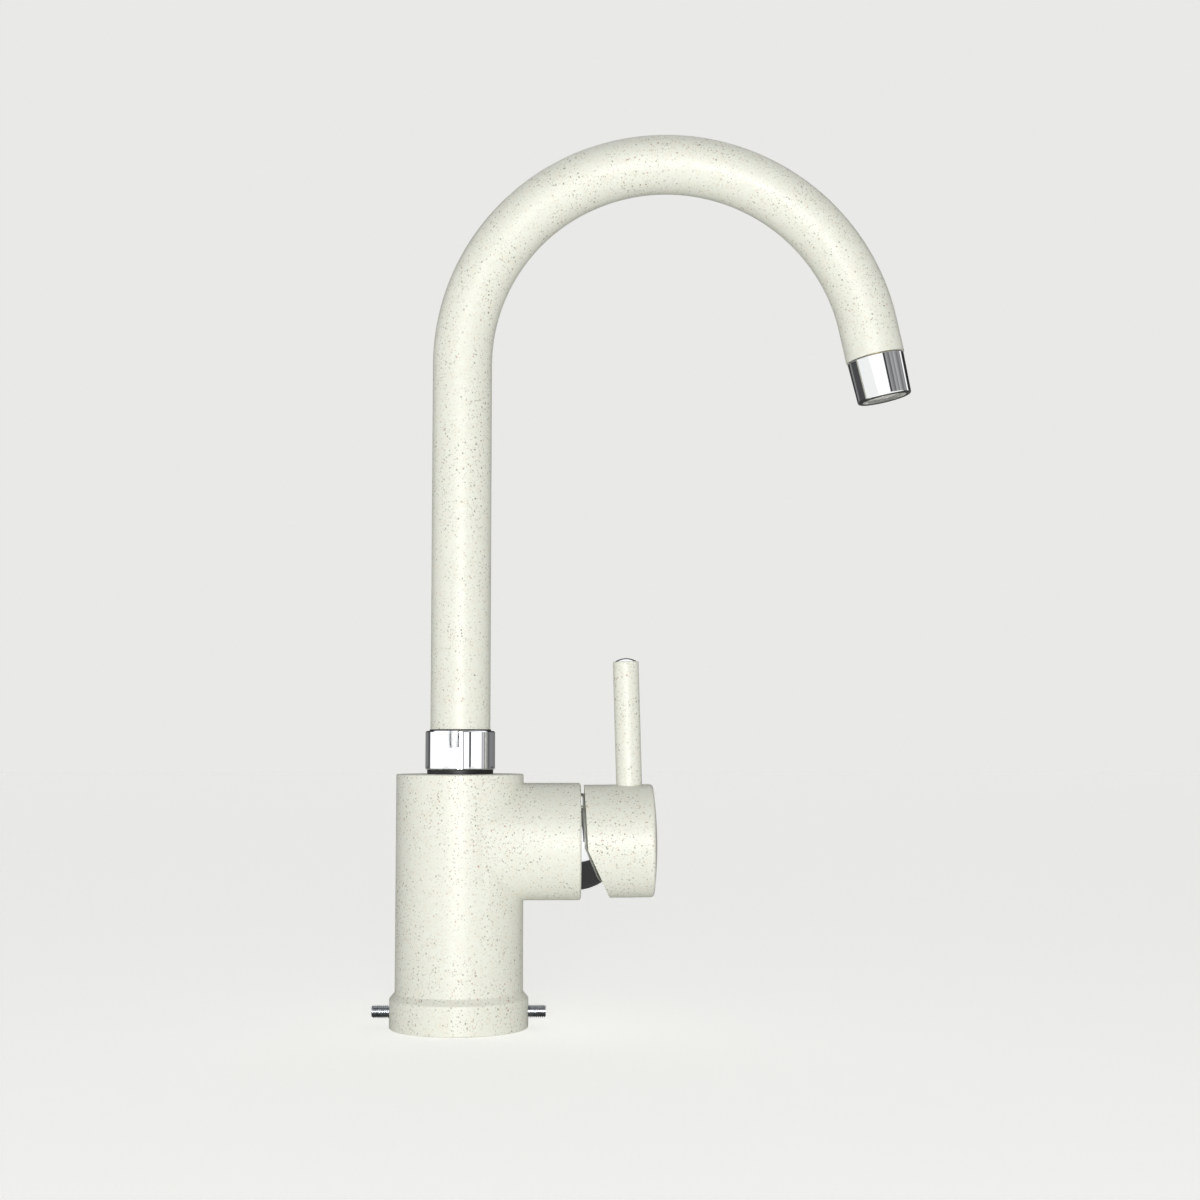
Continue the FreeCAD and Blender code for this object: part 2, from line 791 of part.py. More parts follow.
def pivot_pin():
    """The steel pin across the rotor that the handle tips on."""
    half = pin_length / 2
    return on_branch(rod(pin_diameter / 2, V(0, -half, 0), V(0, half, 0)))


def spindle():
    """The cartridge's square arm. Its ball end moves the disc and its long end carries the handle's cap."""
    square = block(spindle_width, spindle_width, -spindle_square_start, spindle_reach)
    arm = Part.makeCylinder(arm_diameter / 2, arm_length - spindle_square_start, V(0, 0, -arm_length))
    ball = Part.makeSphere(ball_diameter / 2, V(0, 0, -arm_length))
    whole = square.fuse([arm, ball])
    half = spindle_width
    hole = rod(pin_diameter / 2 + running_gap, V(0, -half, 0), V(0, half, 0))
    return on_handle(whole.cut(hole))


def cartridge_nut():
    """The ring nut that clamps the cartridge, with notches round its face for the spanner."""
    outer = mouth_thread_radius
    inner = cartridge_neck_radius + slip_gap
    low = -cartridge_shoulder
    high = low + cartridge_nut_length
    nut = ring(outer, inner, low, high)
    notch = Part.makeBox(outer, cartridge_nut_notch_width, cartridge_nut_notch_depth)
    notch.translate(V(inner - overshoot, -cartridge_nut_notch_width / 2, high - cartridge_nut_notch_depth))
    notches = []
    for i in range(cartridge_nut_notches):
        copy = notch.copy()
        copy.rotate(V(0, 0, 0), UP, 360 * i / cartridge_nut_notches)
        notches.append(copy)
    return on_branch(nut.cut(notches))


def dome_cover():
    """The chromed cover over the cartridge: a short sleeve in the branch's mouth that closes as a ball."""
    outer = dome_radius
    inner = outer - dome_wall
    low = -cartridge_shoulder + cartridge_nut_length + running_gap
    opening = dome_opening / 2
    sleeve = ring(outer, inner, low, 0)
    ball = Part.makeSphere(outer).cut(Part.makeSphere(inner))
    keep = ring(outer + overshoot, opening, 0, outer)
    return on_branch(sleeve.fuse(ball.common(keep)).removeSplitter())


def cap_outside():
    """The outside of the handle's cap: a short cylinder with a faintly domed end."""
    r = cap_radius
    edge = cap_apex - (cap_dome_radius - math.sqrt(cap_dome_radius ** 2 - r ** 2))
    drum = Part.makeCylinder(r, cap_apex)
    dome = Part.makeSphere(cap_dome_radius, V(0, 0, cap_apex - cap_dome_radius))
    drum = drum.common(dome)
    return rounded(drum, cap_edge_round, is_circle(r, V(0, 0, edge)))


def cap_post():
    """The stepped post inside the cap that backs the lever's seat or the set screw."""
    wall = rim_opening_radius + cap_wall / 2
    wide = rod(post_diameter / 2, V(post_inner_radius, 0, 0), V(wall, 0, 0))
    narrow = rod(post_core_diameter / 2, V(0, 0, 0), V(wall, 0, 0))
    return wide.fuse(narrow)


def lever_side(shape):
    """Moves a shape that is built along +X to the side of the cap where the lever stands, and leans it."""
    moved = shape.copy()
    moved.rotate(V(0, 0, 0), UP, 180)
    moved.rotate(V(0, 0, 0), ACROSS, -lever_lean)
    moved.translate(V(0, 0, lever_place))
    return moved


def screw_side(shape):
    """Moves a shape that is built along +X to the side of the cap opposite the lever."""
    moved = shape.copy()
    moved.translate(V(0, 0, lever_place))
    return moved


def handle_cap():
    """The cast cap of the handle, hollow towards the body, with a bevel that lets it tip."""
    r = cap_radius
    hollow = Part.makeCylinder(rim_opening_radius, cap_apex - cap_end_wall)
    boss_length = cap_apex - cap_end_wall - boss_start + overshoot
    boss = Part.makeCylinder(boss_diameter / 2, boss_length, V(0, 0, boss_start))
    cap = cap_outside().cut(hollow).fuse([boss, lever_side(cap_post()), screw_side(cap_post())])
    square = spindle_width + 2 * slip_gap
    socket = block(square, square, boss_start - overshoot, spindle_reach + open_gap)
    seat = rod(lever_diameter / 2 + running_gap, V(r - lever_seat_depth, 0, 0), V(r + overshoot, 0, 0))
    stud_hole = rod(stud_diameter / 2 + running_gap, V(stud_start(), 0, 0), V(r, 0, 0))
    screw_hole = rod(set_screw_diameter / 2 + running_gap, V(0, 0, 0), V(r, 0, 0))
    plug_seat = V(r - index_plug_depth - slip_gap, 0, 0)
    plug_hole = rod(index_plug_diameter / 2 + running_gap, plug_seat, V(r + overshoot, 0, 0))
    tools = [socket, lever_side(seat), lever_side(stud_hole), screw_side(screw_hole), screw_side(plug_hole)]
    return on_handle(cap.cut(tools + [rim_cutter(), bevel_cutter()]).removeSplitter())


def rim_cutter():
    """The block cut from the cap's open end. It leaves the rim a little longer on the lever's side."""
    size = 4 * cap_radius
    end = Part.makeBox(size, size, size, V(-size / 2, -size / 2, -size))
    end.rotate(V(0, 0, 0), ACROSS, -cap_rim_lean)
    end.translate(V(0, 0, cap_rim))
    return end


def bevel_cutter():
    """The wedge that is cut from the cap's lower rim. The lower side is towards +X here."""
    size = 4 * cap_radius
    wedge = Part.makeBox(size, size, size, V(0, -size / 2, -size))
    wedge.rotate(V(0, 0, 0), ACROSS, -cap_bevel_angle)
    wedge.translate(V(cap_bevel_start, 0, cap_rim))
    return wedge


def stud_start():
    """The radius at which the lever's stud begins inside the cap."""
    return cap_radius - lever_seat_depth - stud_length / 2


def lever_rod():
    """The round lever, bored at one end for its stud and at the other for the end plug."""
    r = lever_diameter / 2
    foot = cap_radius - lever_seat_depth + running_gap
    lever = rod(r, V(foot, 0, 0), V(lever_end, 0, 0))
    lever = rounded(lever, lever_edge_round, is_circle(r, V(lever_end, 0, 0)))
    stud_end = stud_start() + stud_length + running_gap
    stud_hole = rod(stud_diameter / 2 + running_gap, V(foot, 0, 0), V(stud_end, 0, 0))
    plug_hole = rod(end_plug_diameter / 2, V(lever_end - end_plug_depth, 0, 0), V(lever_end, 0, 0))
    return on_handle(lever_side(lever.cut([stud_hole, plug_hole])))


def lever_stud():
    """The threaded stud that joins the lever to the cap."""
    start = V(stud_start() + running_gap, 0, 0)
    end = V(stud_start() + stud_length, 0, 0)
    return on_handle(lever_side(rod(stud_diameter / 2, start, end)))


def lever_end_plug():
    """The chromed button in the lever's end, with a low dome."""
    r = end_plug_diameter / 2 - running_gap
    low = lever_end - end_plug_depth + running_gap
    dome_r = (r ** 2 + end_plug_dome ** 2) / (2 * end_plug_dome)
    bar = rod(r, V(low, 0, 0), V(lever_end + end_plug_dome, 0, 0))
    dome = Part.makeSphere(dome_r, V(lever_end + end_plug_dome - dome_r, 0, 0))
    return on_handle(lever_side(bar.common(dome)))


def set_screw():
    """The socket screw that clamps the cap on the spindle."""
    tip = spindle_width / 2 + running_gap
    end = tip + set_screw_length
    screw = rod(set_screw_diameter / 2, V(tip, 0, 0), V(end, 0, 0))
    socket = hex_bar(set_screw_socket, 0, set_screw_socket_depth)
    socket.rotate(V(0, 0, 0), ACROSS, 90)
    socket.translate(V(end - set_screw_socket_depth, 0, 0))
    return on_handle(screw_side(screw.cut(socket)))


def index_plug():
    """The small plug that hides the set screw, trimmed to the cap's curve."""
    r = cap_radius
    plug = rod(index_plug_diameter / 2, V(r - index_plug_depth, 0, 0), V(r + overshoot, 0, 0))
    plug = screw_side(plug).common(Part.makeCylinder(r, cap_apex, V(0, 0, 0)))
    return on_handle(plug)


NODES = {
    "body_casting": body_casting,
    "mounting_base": mounting_base,
    "base_seal": base_seal,
    "lock_screws": lock_screws,
    "spout_washer": spout_washer,
    "spout_nut": spout_nut,
    "spout_slip_ring": spout_slip_ring,
    "spout_tube": spout_tube,
    "spout_stem": spout_stem,
    "spout_seals": spout_seals,
    "spout_clip": spout_clip,
    "outlet_socket": outlet_socket,
    "aerator_housing": aerator_housing,
    "aerator_washer": aerator_washer,
    "aerator_insert": aerator_insert,
    "cartridge_base": cartridge_base,
    "port_seals": port_seals,
    "fixed_disc": fixed_disc,
    "moving_disc": moving_disc,
    "disc_driver": disc_driver,
    "cartridge_housing": cartridge_housing,
    "cartridge_rotor": cartridge_rotor,
    "pivot_pin": pivot_pin,
    "spindle": spindle,
    "cartridge_nut": cartridge_nut,
    "dome_cover": dome_cover,
    "handle_cap": handle_cap,
    "lever_rod": lever_rod,
    "lever_stud": lever_stud,
    "lever_end_plug": lever_end_plug,
    "set_screw": set_screw,
    "index_plug": index_plug,
}

os.makedirs("parts", exist_ok=True)
for node, make in NODES.items():
    shape = make()
    shape.exportStep(f"parts/{node}.step")
    print(f"{node}: {len(shape.Solids)} solids, {shape.Volume / 1000:.2f} cm3, valid {shape.isValid()}")
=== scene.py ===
"""Looks of the single-lever kitchen mixer tap: a speckled cream tap with chromed trim.

The outlines are in millimetres and Blender's own space is in metres. Pieces that are turned on a lathe are
drawn about Z as (radius, height) points and then laid where the CAD frame has them.
"""
import math

import bpy
from mathutils import Matrix, Vector


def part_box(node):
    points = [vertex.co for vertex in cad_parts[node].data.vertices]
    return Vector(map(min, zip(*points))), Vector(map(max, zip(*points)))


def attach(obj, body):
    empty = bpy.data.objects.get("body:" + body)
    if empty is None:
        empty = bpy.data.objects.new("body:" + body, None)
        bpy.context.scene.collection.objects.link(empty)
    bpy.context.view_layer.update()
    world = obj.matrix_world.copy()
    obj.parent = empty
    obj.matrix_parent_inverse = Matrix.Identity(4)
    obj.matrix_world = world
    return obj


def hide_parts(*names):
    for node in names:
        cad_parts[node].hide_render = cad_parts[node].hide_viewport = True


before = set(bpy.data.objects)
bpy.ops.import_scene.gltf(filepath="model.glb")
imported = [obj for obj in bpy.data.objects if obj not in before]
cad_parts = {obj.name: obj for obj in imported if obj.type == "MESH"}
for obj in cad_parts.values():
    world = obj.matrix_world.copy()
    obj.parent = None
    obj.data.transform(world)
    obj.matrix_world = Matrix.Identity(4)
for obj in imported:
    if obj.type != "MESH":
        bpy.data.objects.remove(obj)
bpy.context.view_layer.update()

bl_info = {
    "name": "Kitchen mixer tap",
    "version": (1, 0, 0),
    "blender": (4, 5, 0),
    "location": "3D View > Sidebar > Mixer tap",
    "description": "Models and finishes a single-lever kitchen mixer tap over its CAD frame",
    "category": "Object",
}

MM = 0.001

# Clearances, and how far a cut reaches past the face it starts from
RUNNING_GAP = 0.08
SLIP_GAP = 0.15
OPEN_GAP = 0.3
OVERSHOOT = 1.0

# What several pieces share, in millimetres and degrees
STEM_RADIUS = 10.0
NUT_THREAD_RADIUS = 12.0
NUT_BOTTOM = 90.5
BEND_START = 261.8
OUTLET_STRAIGHT = 14.0
LOCK_SCREW_RADIUS = 2.5
LOCK_SCREW_HEIGHT = 6.2
CARTRIDGE_RADIUS = 17.5
MOUTH_THREAD_RADIUS = 19.0
PIN_SETBACK = 2.2
CLOSED_LEAN = 0.5
LEVER_PLACE = 21.8
LEVER_TURN = -91
STUD_RADIUS = 2.5
ROUND_STEPS = 160


def linear(code):
    """An sRGB hex colour as the linear numbers that Blender wants."""
    channels = [int(code[i:i + 2], 16) / 255 for i in (1, 3, 5)]
    return tuple(c / 12.92 if c <= 0.04045 else ((c + 0.055) / 1.055) ** 2.4 for c in channels)


def length_setting(name, description, default):
    """A size that the user can change, in metres."""
    return bpy.props.FloatProperty(name=name, description=description, default=default, unit="LENGTH")


def angle_setting(name, description, degrees):
    """An angle that the user can change."""
    return bpy.props.FloatProperty(
        name=name, description=description, default=math.radians(degrees), subtype="ANGLE")


def colour_setting(name, description, code):
    """A colour that the user can change."""
    return bpy.props.FloatVectorProperty(
        name=name, description=description, default=linear(code), subtype="COLOR", min=0, max=1)


def place_setting(name, description, default):
    """A place in the scene that the user can change."""
    return bpy.props.FloatVectorProperty(
        name=name, description=description, default=default, subtype="TRANSLATION")


def number_setting(name, description, default, unit="NONE"):
    """A strength that the user can change."""
    return bpy.props.FloatProperty(name=name, description=description, default=default, unit=unit)


class TapSizes(bpy.types.PropertyGroup):
    """The sizes that the pieces are drawn to."""

    barrel_diameter: length_setting("Barrel", "Diameter of the body's barrel", 0.050)
    skirt_diameter: length_setting("Skirt", "Diameter of the skirt at the foot", 0.0542)
    body_height: length_setting("Body height", "Height of the barrel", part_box("body_casting")[1].z)
    branch_diameter: length_setting("Branch", "Diameter of the side branch", 0.0458)
    branch_reach: length_setting(
        "Branch reach", "From the barrel's axis to the end of the branch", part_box("body_casting")[1].x)
    branch_height: length_setting("Branch height", "Height of the branch's axis", 0.0721)
    tube_diameter: length_setting("Spout tube", "Diameter of the gooseneck", 0.02359)
    tube_wall: length_setting("Tube wall", "Wall thickness of the gooseneck", 0.001)
    bend_radius: length_setting("Bend radius", "Radius of the bend's centre line", 0.0825)
    bend_angle: angle_setting("Bend angle", "How far the gooseneck turns", 167.8)
    cap_diameter: length_setting("Handle cap", "Diameter of the handle's cap", 0.0442)
    lever_diameter: length_setting("Lever", "Diameter of the lever", 0.0102)
    collar_diameter: length_setting("Collar", "Diameter of the chromed collar", 0.0274)


class TapFinish(bpy.types.PropertyGroup):
    """The colours of the finishes."""

    coat: colour_setting("Coat", "Ground colour of the speckled coating", "#F0F2E6")
    coat_warm: colour_setting("Coat, warm", "Warmer tone of the uneven ground", "#EEEADA")
    fleck_olive: colour_setting("Olive flecks", "Colour of the darkest flecks", "#76735A")
    fleck_tan: colour_setting("Tan flecks", "Colour of the brown flecks", "#93805F")
    fleck_rose: colour_setting("Rose flecks", "Colour of the reddish flecks", "#B98471")
    fleck_size: length_setting("Fleck size", "Diameter of a middling fleck", 0.0009)
    chrome: colour_setting("Chrome", "Colour of the chromed pieces", "#E6E8EA")
    brass: colour_setting("Brass", "Colour of bare machined brass", "#9A7D4C")
    steel: colour_setting("Zinc-plated steel", "Colour of the screws", "#C9CCD0")
    steel_dull: colour_setting("Zinc-plated steel, dull", "Colour of the clouds in the zinc", "#AEB2B8")


class TapStage(bpy.types.PropertyGroup):
    """The floor, the room, the lamp and the camera."""

    floor: colour_setting("Floor", "Colour of the floor", "#E4E4E1")
    backdrop: colour_setting("Backdrop", "Colour seen behind the tap", "#E9E9E7")
    floor_lift: number_setting("Floor lift", "How much paler the floor looks than the light on it", 0.63)
    floor_glow: number_setting("Floor glow", "How much light the floor gives the tap from below", 0.21)
    floor_gleam: number_setting("Floor gleam", "How much paler still the floor is in polished metal", 0.37)
    room_light: number_setting("Room light", "Strength of the even light from the room", 0.60)
    overhead: number_setting("Overhead", "Share of the room's light that is left straight above", 0.12)
    back_light: number_setting("Back light", "How much brighter the room is behind the tap", 0.8)
    cloth_light: number_setting("Cloths", "Brightness of the white cloths in polished metal", 1.35)
    lamp_power: number_setting("Lamp power", "Power of the large soft lamp behind the camera", 9.55, "POWER")
    lamp_place: place_setting("Lamp", "Where the lamp hangs", (0.0, -1.3, 0.14))
    lamp_aim: place_setting("Lamp's aim", "What the lamp points at", (0.06, 0.0, 0.17))
    lamp_width: length_setting("Lamp width", "Width of the lamp", 0.36)
    lamp_height: length_setting("Lamp height", "Height of the lamp", 0.26)
    camera_place: place_setting("Camera", "Where the camera stands", (0.0386, -0.749, 0.1093))
    camera_turn: angle_setting("Turn", "Turn of the camera about the vertical", -1.265)
    camera_tilt: angle_setting("Tilt", "How far the camera looks up", 4.433)
    lens: number_setting("Lens", "Focal length over a 36 mm wide frame", 56.68, "CAMERA")


def mm(size):
    """A size in metres as millimetres."""
    return size / MM


# ---- modelling


def clear_selection():
    """Leaves edit mode and deselects everything."""
    if bpy.context.object and bpy.context.object.mode != "OBJECT":
        bpy.ops.object.mode_set(mode="OBJECT")
    bpy.ops.object.select_all(action="DESELECT")


def pick(piece):
    """Selects one object alone and makes it the active one."""
    clear_selection()
    piece.select_set(True)
    bpy.context.view_layer.objects.active = piece


def new_piece(name, *materials):
    """Names the primitive that was just added and gives it its materials."""
    piece = bpy.context.object
    piece.name = piece.data.name = name
    for material in materials:
        piece.data.materials.append(material)
    return piece


def close_mesh():
    """In edit mode, merges doubles, points the faces outwards and goes back to object mode."""
    bpy.ops.mesh.select_all(action="SELECT")
    bpy.ops.mesh.remove_doubles(threshold=1e-6)
    bpy.ops.mesh.normals_make_consistent(inside=False)
    bpy.ops.object.mode_set(mode="OBJECT")


def apply_modifier(piece, kind, **settings):
    """Adds a modifier, sets it and applies it."""
    pick(piece)
    bpy.ops.object.modifier_add(type=kind)
    modifier = piece.modifiers[-1]
    for key, value in settings.items():
        setattr(modifier, key, value)
    bpy.ops.object.modifier_apply(modifier=modifier.name)


def place(piece, matrix):
    """Moves a piece that was drawn about Z to its place, which then is in its mesh."""
    pick(piece)
    piece.matrix_world = matrix
    bpy.ops.object.transform_apply(location=True, rotation=True, scale=True)
    return piece


def turn_about(axis, degrees):
    """A turn about one of the axes."""
    return Matrix.Rotation(math.radians(degrees), 4, axis)


def turned(name, outline, material, hollow=False, steps=128):
    """A piece turned about Z. A disc is extruded and scaled from ring to ring along the outline. A hollow
    piece's outline is closed and doesn't touch the axis."""
    clear_selection()
    radius, height = outline[0]
    fill = "NOTHING" if hollow else "NGON"
    bpy.ops.mesh.primitive_circle_add(vertices=steps, radius=radius * MM, fill_type=fill)
    piece = new_piece(name, material)
    bpy.ops.object.mode_set(mode="EDIT")
    bpy.ops.mesh.select_all(action="SELECT")
    bpy.ops.transform.translate(value=(0, 0, height * MM))
    for next_radius, next_height in outline[1:] + (outline[:1] if hollow else []):
        rise = (next_height - height) * MM
        bpy.ops.mesh.extrude_region_move(TRANSFORM_OT_translate={"value": (0, 0, rise)})
        scale = next_radius / radius
        bpy.ops.transform.resize(value=(scale, scale, 1), center_override=(0, 0, next_height * MM))
        radius, height = next_radius, next_height
    close_mesh()
    return piece


def bar(name, radius, start, end, material, steps=64):
    """A round bar between two points, in millimetres."""
    start, end = Vector(start), Vector(end)
    way = end - start
    piece = turned(name, [(radius, 0), (radius, way.length)], material, steps=steps)
    return place(piece, Matrix.Translation(start * MM) @ way.to_track_quat("Z", "Y").to_matrix().to_4x4())


def box(name, size, centre, material, turn=None):
    """A rectangular tool, in millimetres."""
    clear_selection()
    bpy.ops.mesh.primitive_cube_add(size=1)
    piece = new_piece(name, material)
    scale = Matrix.Diagonal((size[0] * MM, size[1] * MM, size[2] * MM, 1))
    return place(piece, (turn or Matrix()) @ Matrix.Translation(Vector(centre) * MM) @ scale)


def arc(radius, centre, start, end, steps):
    """Points of (radius, height) on an arc, with its angles in degrees from the radial direction."""
    turns = [math.radians(start + (end - start) * i / steps) for i in range(steps + 1)]
    return [(centre[0] + radius * math.cos(turn), centre[1] + radius * math.sin(turn)) for turn in turns]


def combine(piece, tool, operation="DIFFERENCE"):
    """Joins a tool to a piece or cuts it away. The new faces keep the tool's material. A cut can fail and
    leave the tool behind, so the piece may not grow by it."""
    before = piece.dimensions.copy()
    apply_modifier(
        piece, "BOOLEAN", operation=operation, solver="EXACT", material_mode="TRANSFER", object=tool)
    bpy.data.objects.remove(tool)
    grown = max(after - old for after, old in zip(piece.dimensions, before))
    if not piece.data.polygons or (operation != "UNION" and grown > 0.01 * MM):
        raise RuntimeError(f"{piece.name}: the {operation.lower()} failed")


def soften(piece, width, segments=3, angle=25):
    """Rounds every edge that turns by more than the angle."""
    apply_modifier(
        piece, "BEVEL", width=width * MM, segments=segments, limit_method="ANGLE",
        angle_limit=math.radians(angle), use_clamp_overlap=True, miter_outer="MITER_ARC")


def complete(piece, body, slot, *nodes, angle=35):
    """Shades a piece, hangs it on its body and hides the CAD nodes that it stands for. The slot is not used.
    """
    pick(piece)
    bpy.ops.object.shade_smooth_by_angle(angle=math.radians(angle))
    apply_modifier(piece, "WEIGHTED_NORMAL", mode="FACE_AREA", weight=50, keep_sharp=True)
    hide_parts(*nodes)
    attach(piece, body)


# ---- places


def branch_frame(sizes, lean=0):
    """Lays what is drawn about Z, with its zero at the handle's pin, along the branch."""
    pin = Vector((sizes.branch_reach - PIN_SETBACK * MM, 0, sizes.branch_height))
    return Matrix.Translation(pin) @ turn_about("Y", 90 - lean)


def handle_frame(sizes):
    """As branch_frame, leaned back as the handle rests."""
    return branch_frame(sizes, CLOSED_LEAN)


def across_cap(degrees):
    """Lays what is drawn about Z across the cap, where the lever's axis meets the cap's own."""
    return Matrix.Translation((0, 0, LEVER_PLACE * MM)) @ turn_about("Y", degrees)


def lever_frame(sizes):
    """Puts what is drawn about Z on the lever's axis, out of the top of the cap."""
    return handle_frame(sizes) @ across_cap(LEVER_TURN)


def outlet_frame(sizes):
    """Puts what is drawn about Z, with its zero at the tube's end, on the outlet."""
    turn = sizes.bend_angle
    heading = Vector((math.sin(turn), 0, math.cos(turn)))
    bend_end = Vector((
        sizes.bend_radius * (1 - math.cos(turn)), 0, BEND_START * MM + sizes.bend_radius * math.sin(turn)))
    return Matrix.Translation(bend_end + heading * OUTLET_STRAIGHT * MM) @ Matrix.Rotation(turn, 4, "Y")


# ---- finishes


def feed(node, inputs):
    """Sets a node's inputs: each is a plain value, an output, or a node, for its first output in use."""
    for socket, value in inputs.items():
        if isinstance(value, bpy.types.Node):
            value = next(output for output in value.outputs if output.enabled)
        if isinstance(value, bpy.types.NodeSocket):
            node.id_data.links.new(value, node.inputs[socket])
        else:
            node.inputs[socket].default_value = value


def add_node(tree, kind, inputs=None, **settings):
    """Adds a shader node with its settings and inputs."""
    node = tree.nodes.new("ShaderNode" + kind)
    for key, value in settings.items():
        setattr(node, key, value)
    feed(node, inputs or {})
    return node


def new_material(name, **values):
    """A material with one shader, whose even values stand on its own sockets. Returns the material, its
    tree, its shader and its Object coordinates in millimetres, so that a pattern's scale is one over its
    size in millimetres."""
    material = bpy.data.materials.new(name)
    material.use_nodes = True
    tree = material.node_tree
    shader = tree.nodes["Principled BSDF"]
    feed(shader, {socket.replace("_", " "): value for socket, value in values.items()})
    scaled = add_node(tree, "Mapping", {
        "Vector": add_node(tree, "TexCoord").outputs["Object"], "Scale": (1 / MM, 1 / MM, 1 / MM)})
    return material, tree, shader, scaled


def rgba(colour):
    """A colour with its fourth number."""
    return (*colour[:3], 1.0)


def scattered_flecks(tree, place_mm, cell, radius, soft):
    """Flecks scattered at random, one per cell of that many millimetres. Returns their mask and their
    random colour."""
    cells = add_node(tree, "TexVoronoi", {"Vector": place_mm, "Scale": 1 / cell})
    mask = add_node(tree, "MapRange", {
        "Value": cells, "From Min": radius / cell, "From Max": radius * (1 - soft) / cell},
        interpolation_type="SMOOTHSTEP")
    return mask, cells.outputs["Color"]


def speckled_lacquer(finish):
    """Stoved spray lacquer with mineral flecks, on brass: a satin cream ground, slightly uneven, with
    small soft-edged olive, tan and rose flecks of many sizes and the faint ripple of a sprayed coat."""
    material, tree, shader, place_mm = new_material(
        "speckled_lacquer", Roughness=0.42, IOR=1.5, Specular_IOR_Level=0.45)

    # The flecks' outlines are pushed about by up to a quarter of a millimetre, which makes them ragged
    wander = add_node(tree, "TexNoise", {"Vector": place_mm, "Scale": 1.6, "Detail": 1.0})
    offset = add_node(tree, "VectorMath", {
        0: wander.outputs["Color"], 1: (0.5, 0.5, 0.5)}, operation="SUBTRACT")
    push = add_node(tree, "VectorMath", {0: offset, "Scale": 0.55}, operation="SCALE")
    ragged = add_node(tree, "VectorMath", {0: place_mm, 1: push}, operation="ADD")

    # They crowd in patches a few centimetres wide, on a ground that is warmer here and there
    patches = add_node(tree, "TexNoise", {
        "Vector": place_mm, "Scale": 0.07, "Detail": 2.0, "Roughness": 0.55})
    crowd = add_node(tree, "MapRange", {
        "Value": patches, "From Min": 0.36, "From Max": 0.60, "To Min": 0.35})
    unevenness = add_node(tree, "TexNoise", {
        "Vector": place_mm, "Scale": 0.32, "Detail": 4.0, "Roughness": 0.6})
    warmth = add_node(tree, "MapRange", {
        "Value": unevenness, "From Min": 0.42, "From Max": 0.68, "To Max": 0.55})
    colour = add_node(tree, "Mix", {
        0: warmth, 6: rgba(finish.coat), 7: rgba(finish.coat_warm)}, data_type="RGBA")

    # Here and there the reddish flecks gather
    drift = add_node(tree, "TexNoise", {"Vector": place_mm, "Scale": 0.045, "Detail": 1.0})
    blush = add_node(tree, "MapRange", {
        "Value": drift, "From Min": 0.5, "From Max": 0.66, "To Max": 0.32})

    size = mm(finish.fleck_size) / 2
    layers = (
        # spacing of the cells and radius of the flecks in millimetres, softness of the edge, strength
        (0.76, size * 0.56, 0.75, 0.64),
        (1.08, size * 0.80, 0.70, 0.82),
        (1.68, size * 1.10, 0.60, 0.95),
    )
    for cell, radius, soft, strength in layers:
        mask, chance = scattered_flecks(tree, ragged, cell, radius, soft)
        split = add_node(tree, "SeparateColor", {"Color": chance})
        kind = add_node(tree, "Math", {0: split.outputs["Red"], 1: blush}, operation="ADD")
        ramp = add_node(tree, "ValToRGB", {"Fac": kind}, label="fleck colours")
        ramp.color_ramp.interpolation = "CONSTANT"
        olive, tan = ramp.color_ramp.elements
        olive.color = rgba(finish.fleck_olive)
        tan.position = 0.66
        tan.color = rgba(finish.fleck_tan)
        ramp.color_ramp.elements.new(0.95).color = rgba(finish.fleck_rose)
        faint = add_node(tree, "MapRange", {
            "Value": split.outputs["Green"], "To Min": 0.15 * strength, "To Max": strength})
        amount = add_node(tree, "Math", {0: mask, 1: faint}, operation="MULTIPLY")
        thinned = add_node(tree, "Math", {0: amount, 1: crowd}, operation="MULTIPLY")
        colour = add_node(tree, "Mix", {0: thinned, 6: colour, 7: ramp}, data_type="RGBA")

    # Sprayed lacquer ripples every millimetre or two by a few hundredths, and the largest flecks stand a
    # little proud
    ripple = add_node(tree, "TexNoise", {"Vector": place_mm, "Scale": 0.75, "Detail": 2.0})
    ripple_bump = add_node(tree, "Bump", {"Height": ripple, "Strength": 0.35, "Distance": 0.06 * MM})
    fleck_bump = add_node(tree, "Bump", {
        "Height": thinned, "Normal": ripple_bump, "Strength": 0.4, "Distance": 0.03 * MM})
    sheen = add_node(tree, "MapRange", {
        "Value": unevenness, "From Min": 0.3, "From Max": 0.7, "To Min": 0.37, "To Max": 0.48})
    feed(shader, {"Base Color": colour, "Normal": fleck_bump, "Roughness": sheen})
    return material


def polished_chrome(finish):
    """Bright chromium plate over polished brass: a sharp mirror, very slightly blue, whose buffing leaves
    faint long waves and a haze that comes and goes."""
    material, tree, shader, place_mm = new_material(
        "polished_chrome", Metallic=1.0, Base_Color=rgba(finish.chrome))
    haze = add_node(tree, "TexNoise", {"Vector": place_mm, "Scale": 0.4, "Detail": 3.0})
    gloss = add_node(tree, "MapRange", {
        "Value": haze, "From Min": 0.35, "From Max": 0.75, "To Min": 0.01, "To Max": 0.024})
    wave = add_node(tree, "TexNoise", {"Vector": place_mm, "Scale": 0.12, "Detail": 1.0})
    bump = add_node(tree, "Bump", {"Height": wave, "Strength": 0.012, "Distance": 0.1 * MM})
    feed(shader, {"Roughness": gloss, "Normal": bump})
    return material


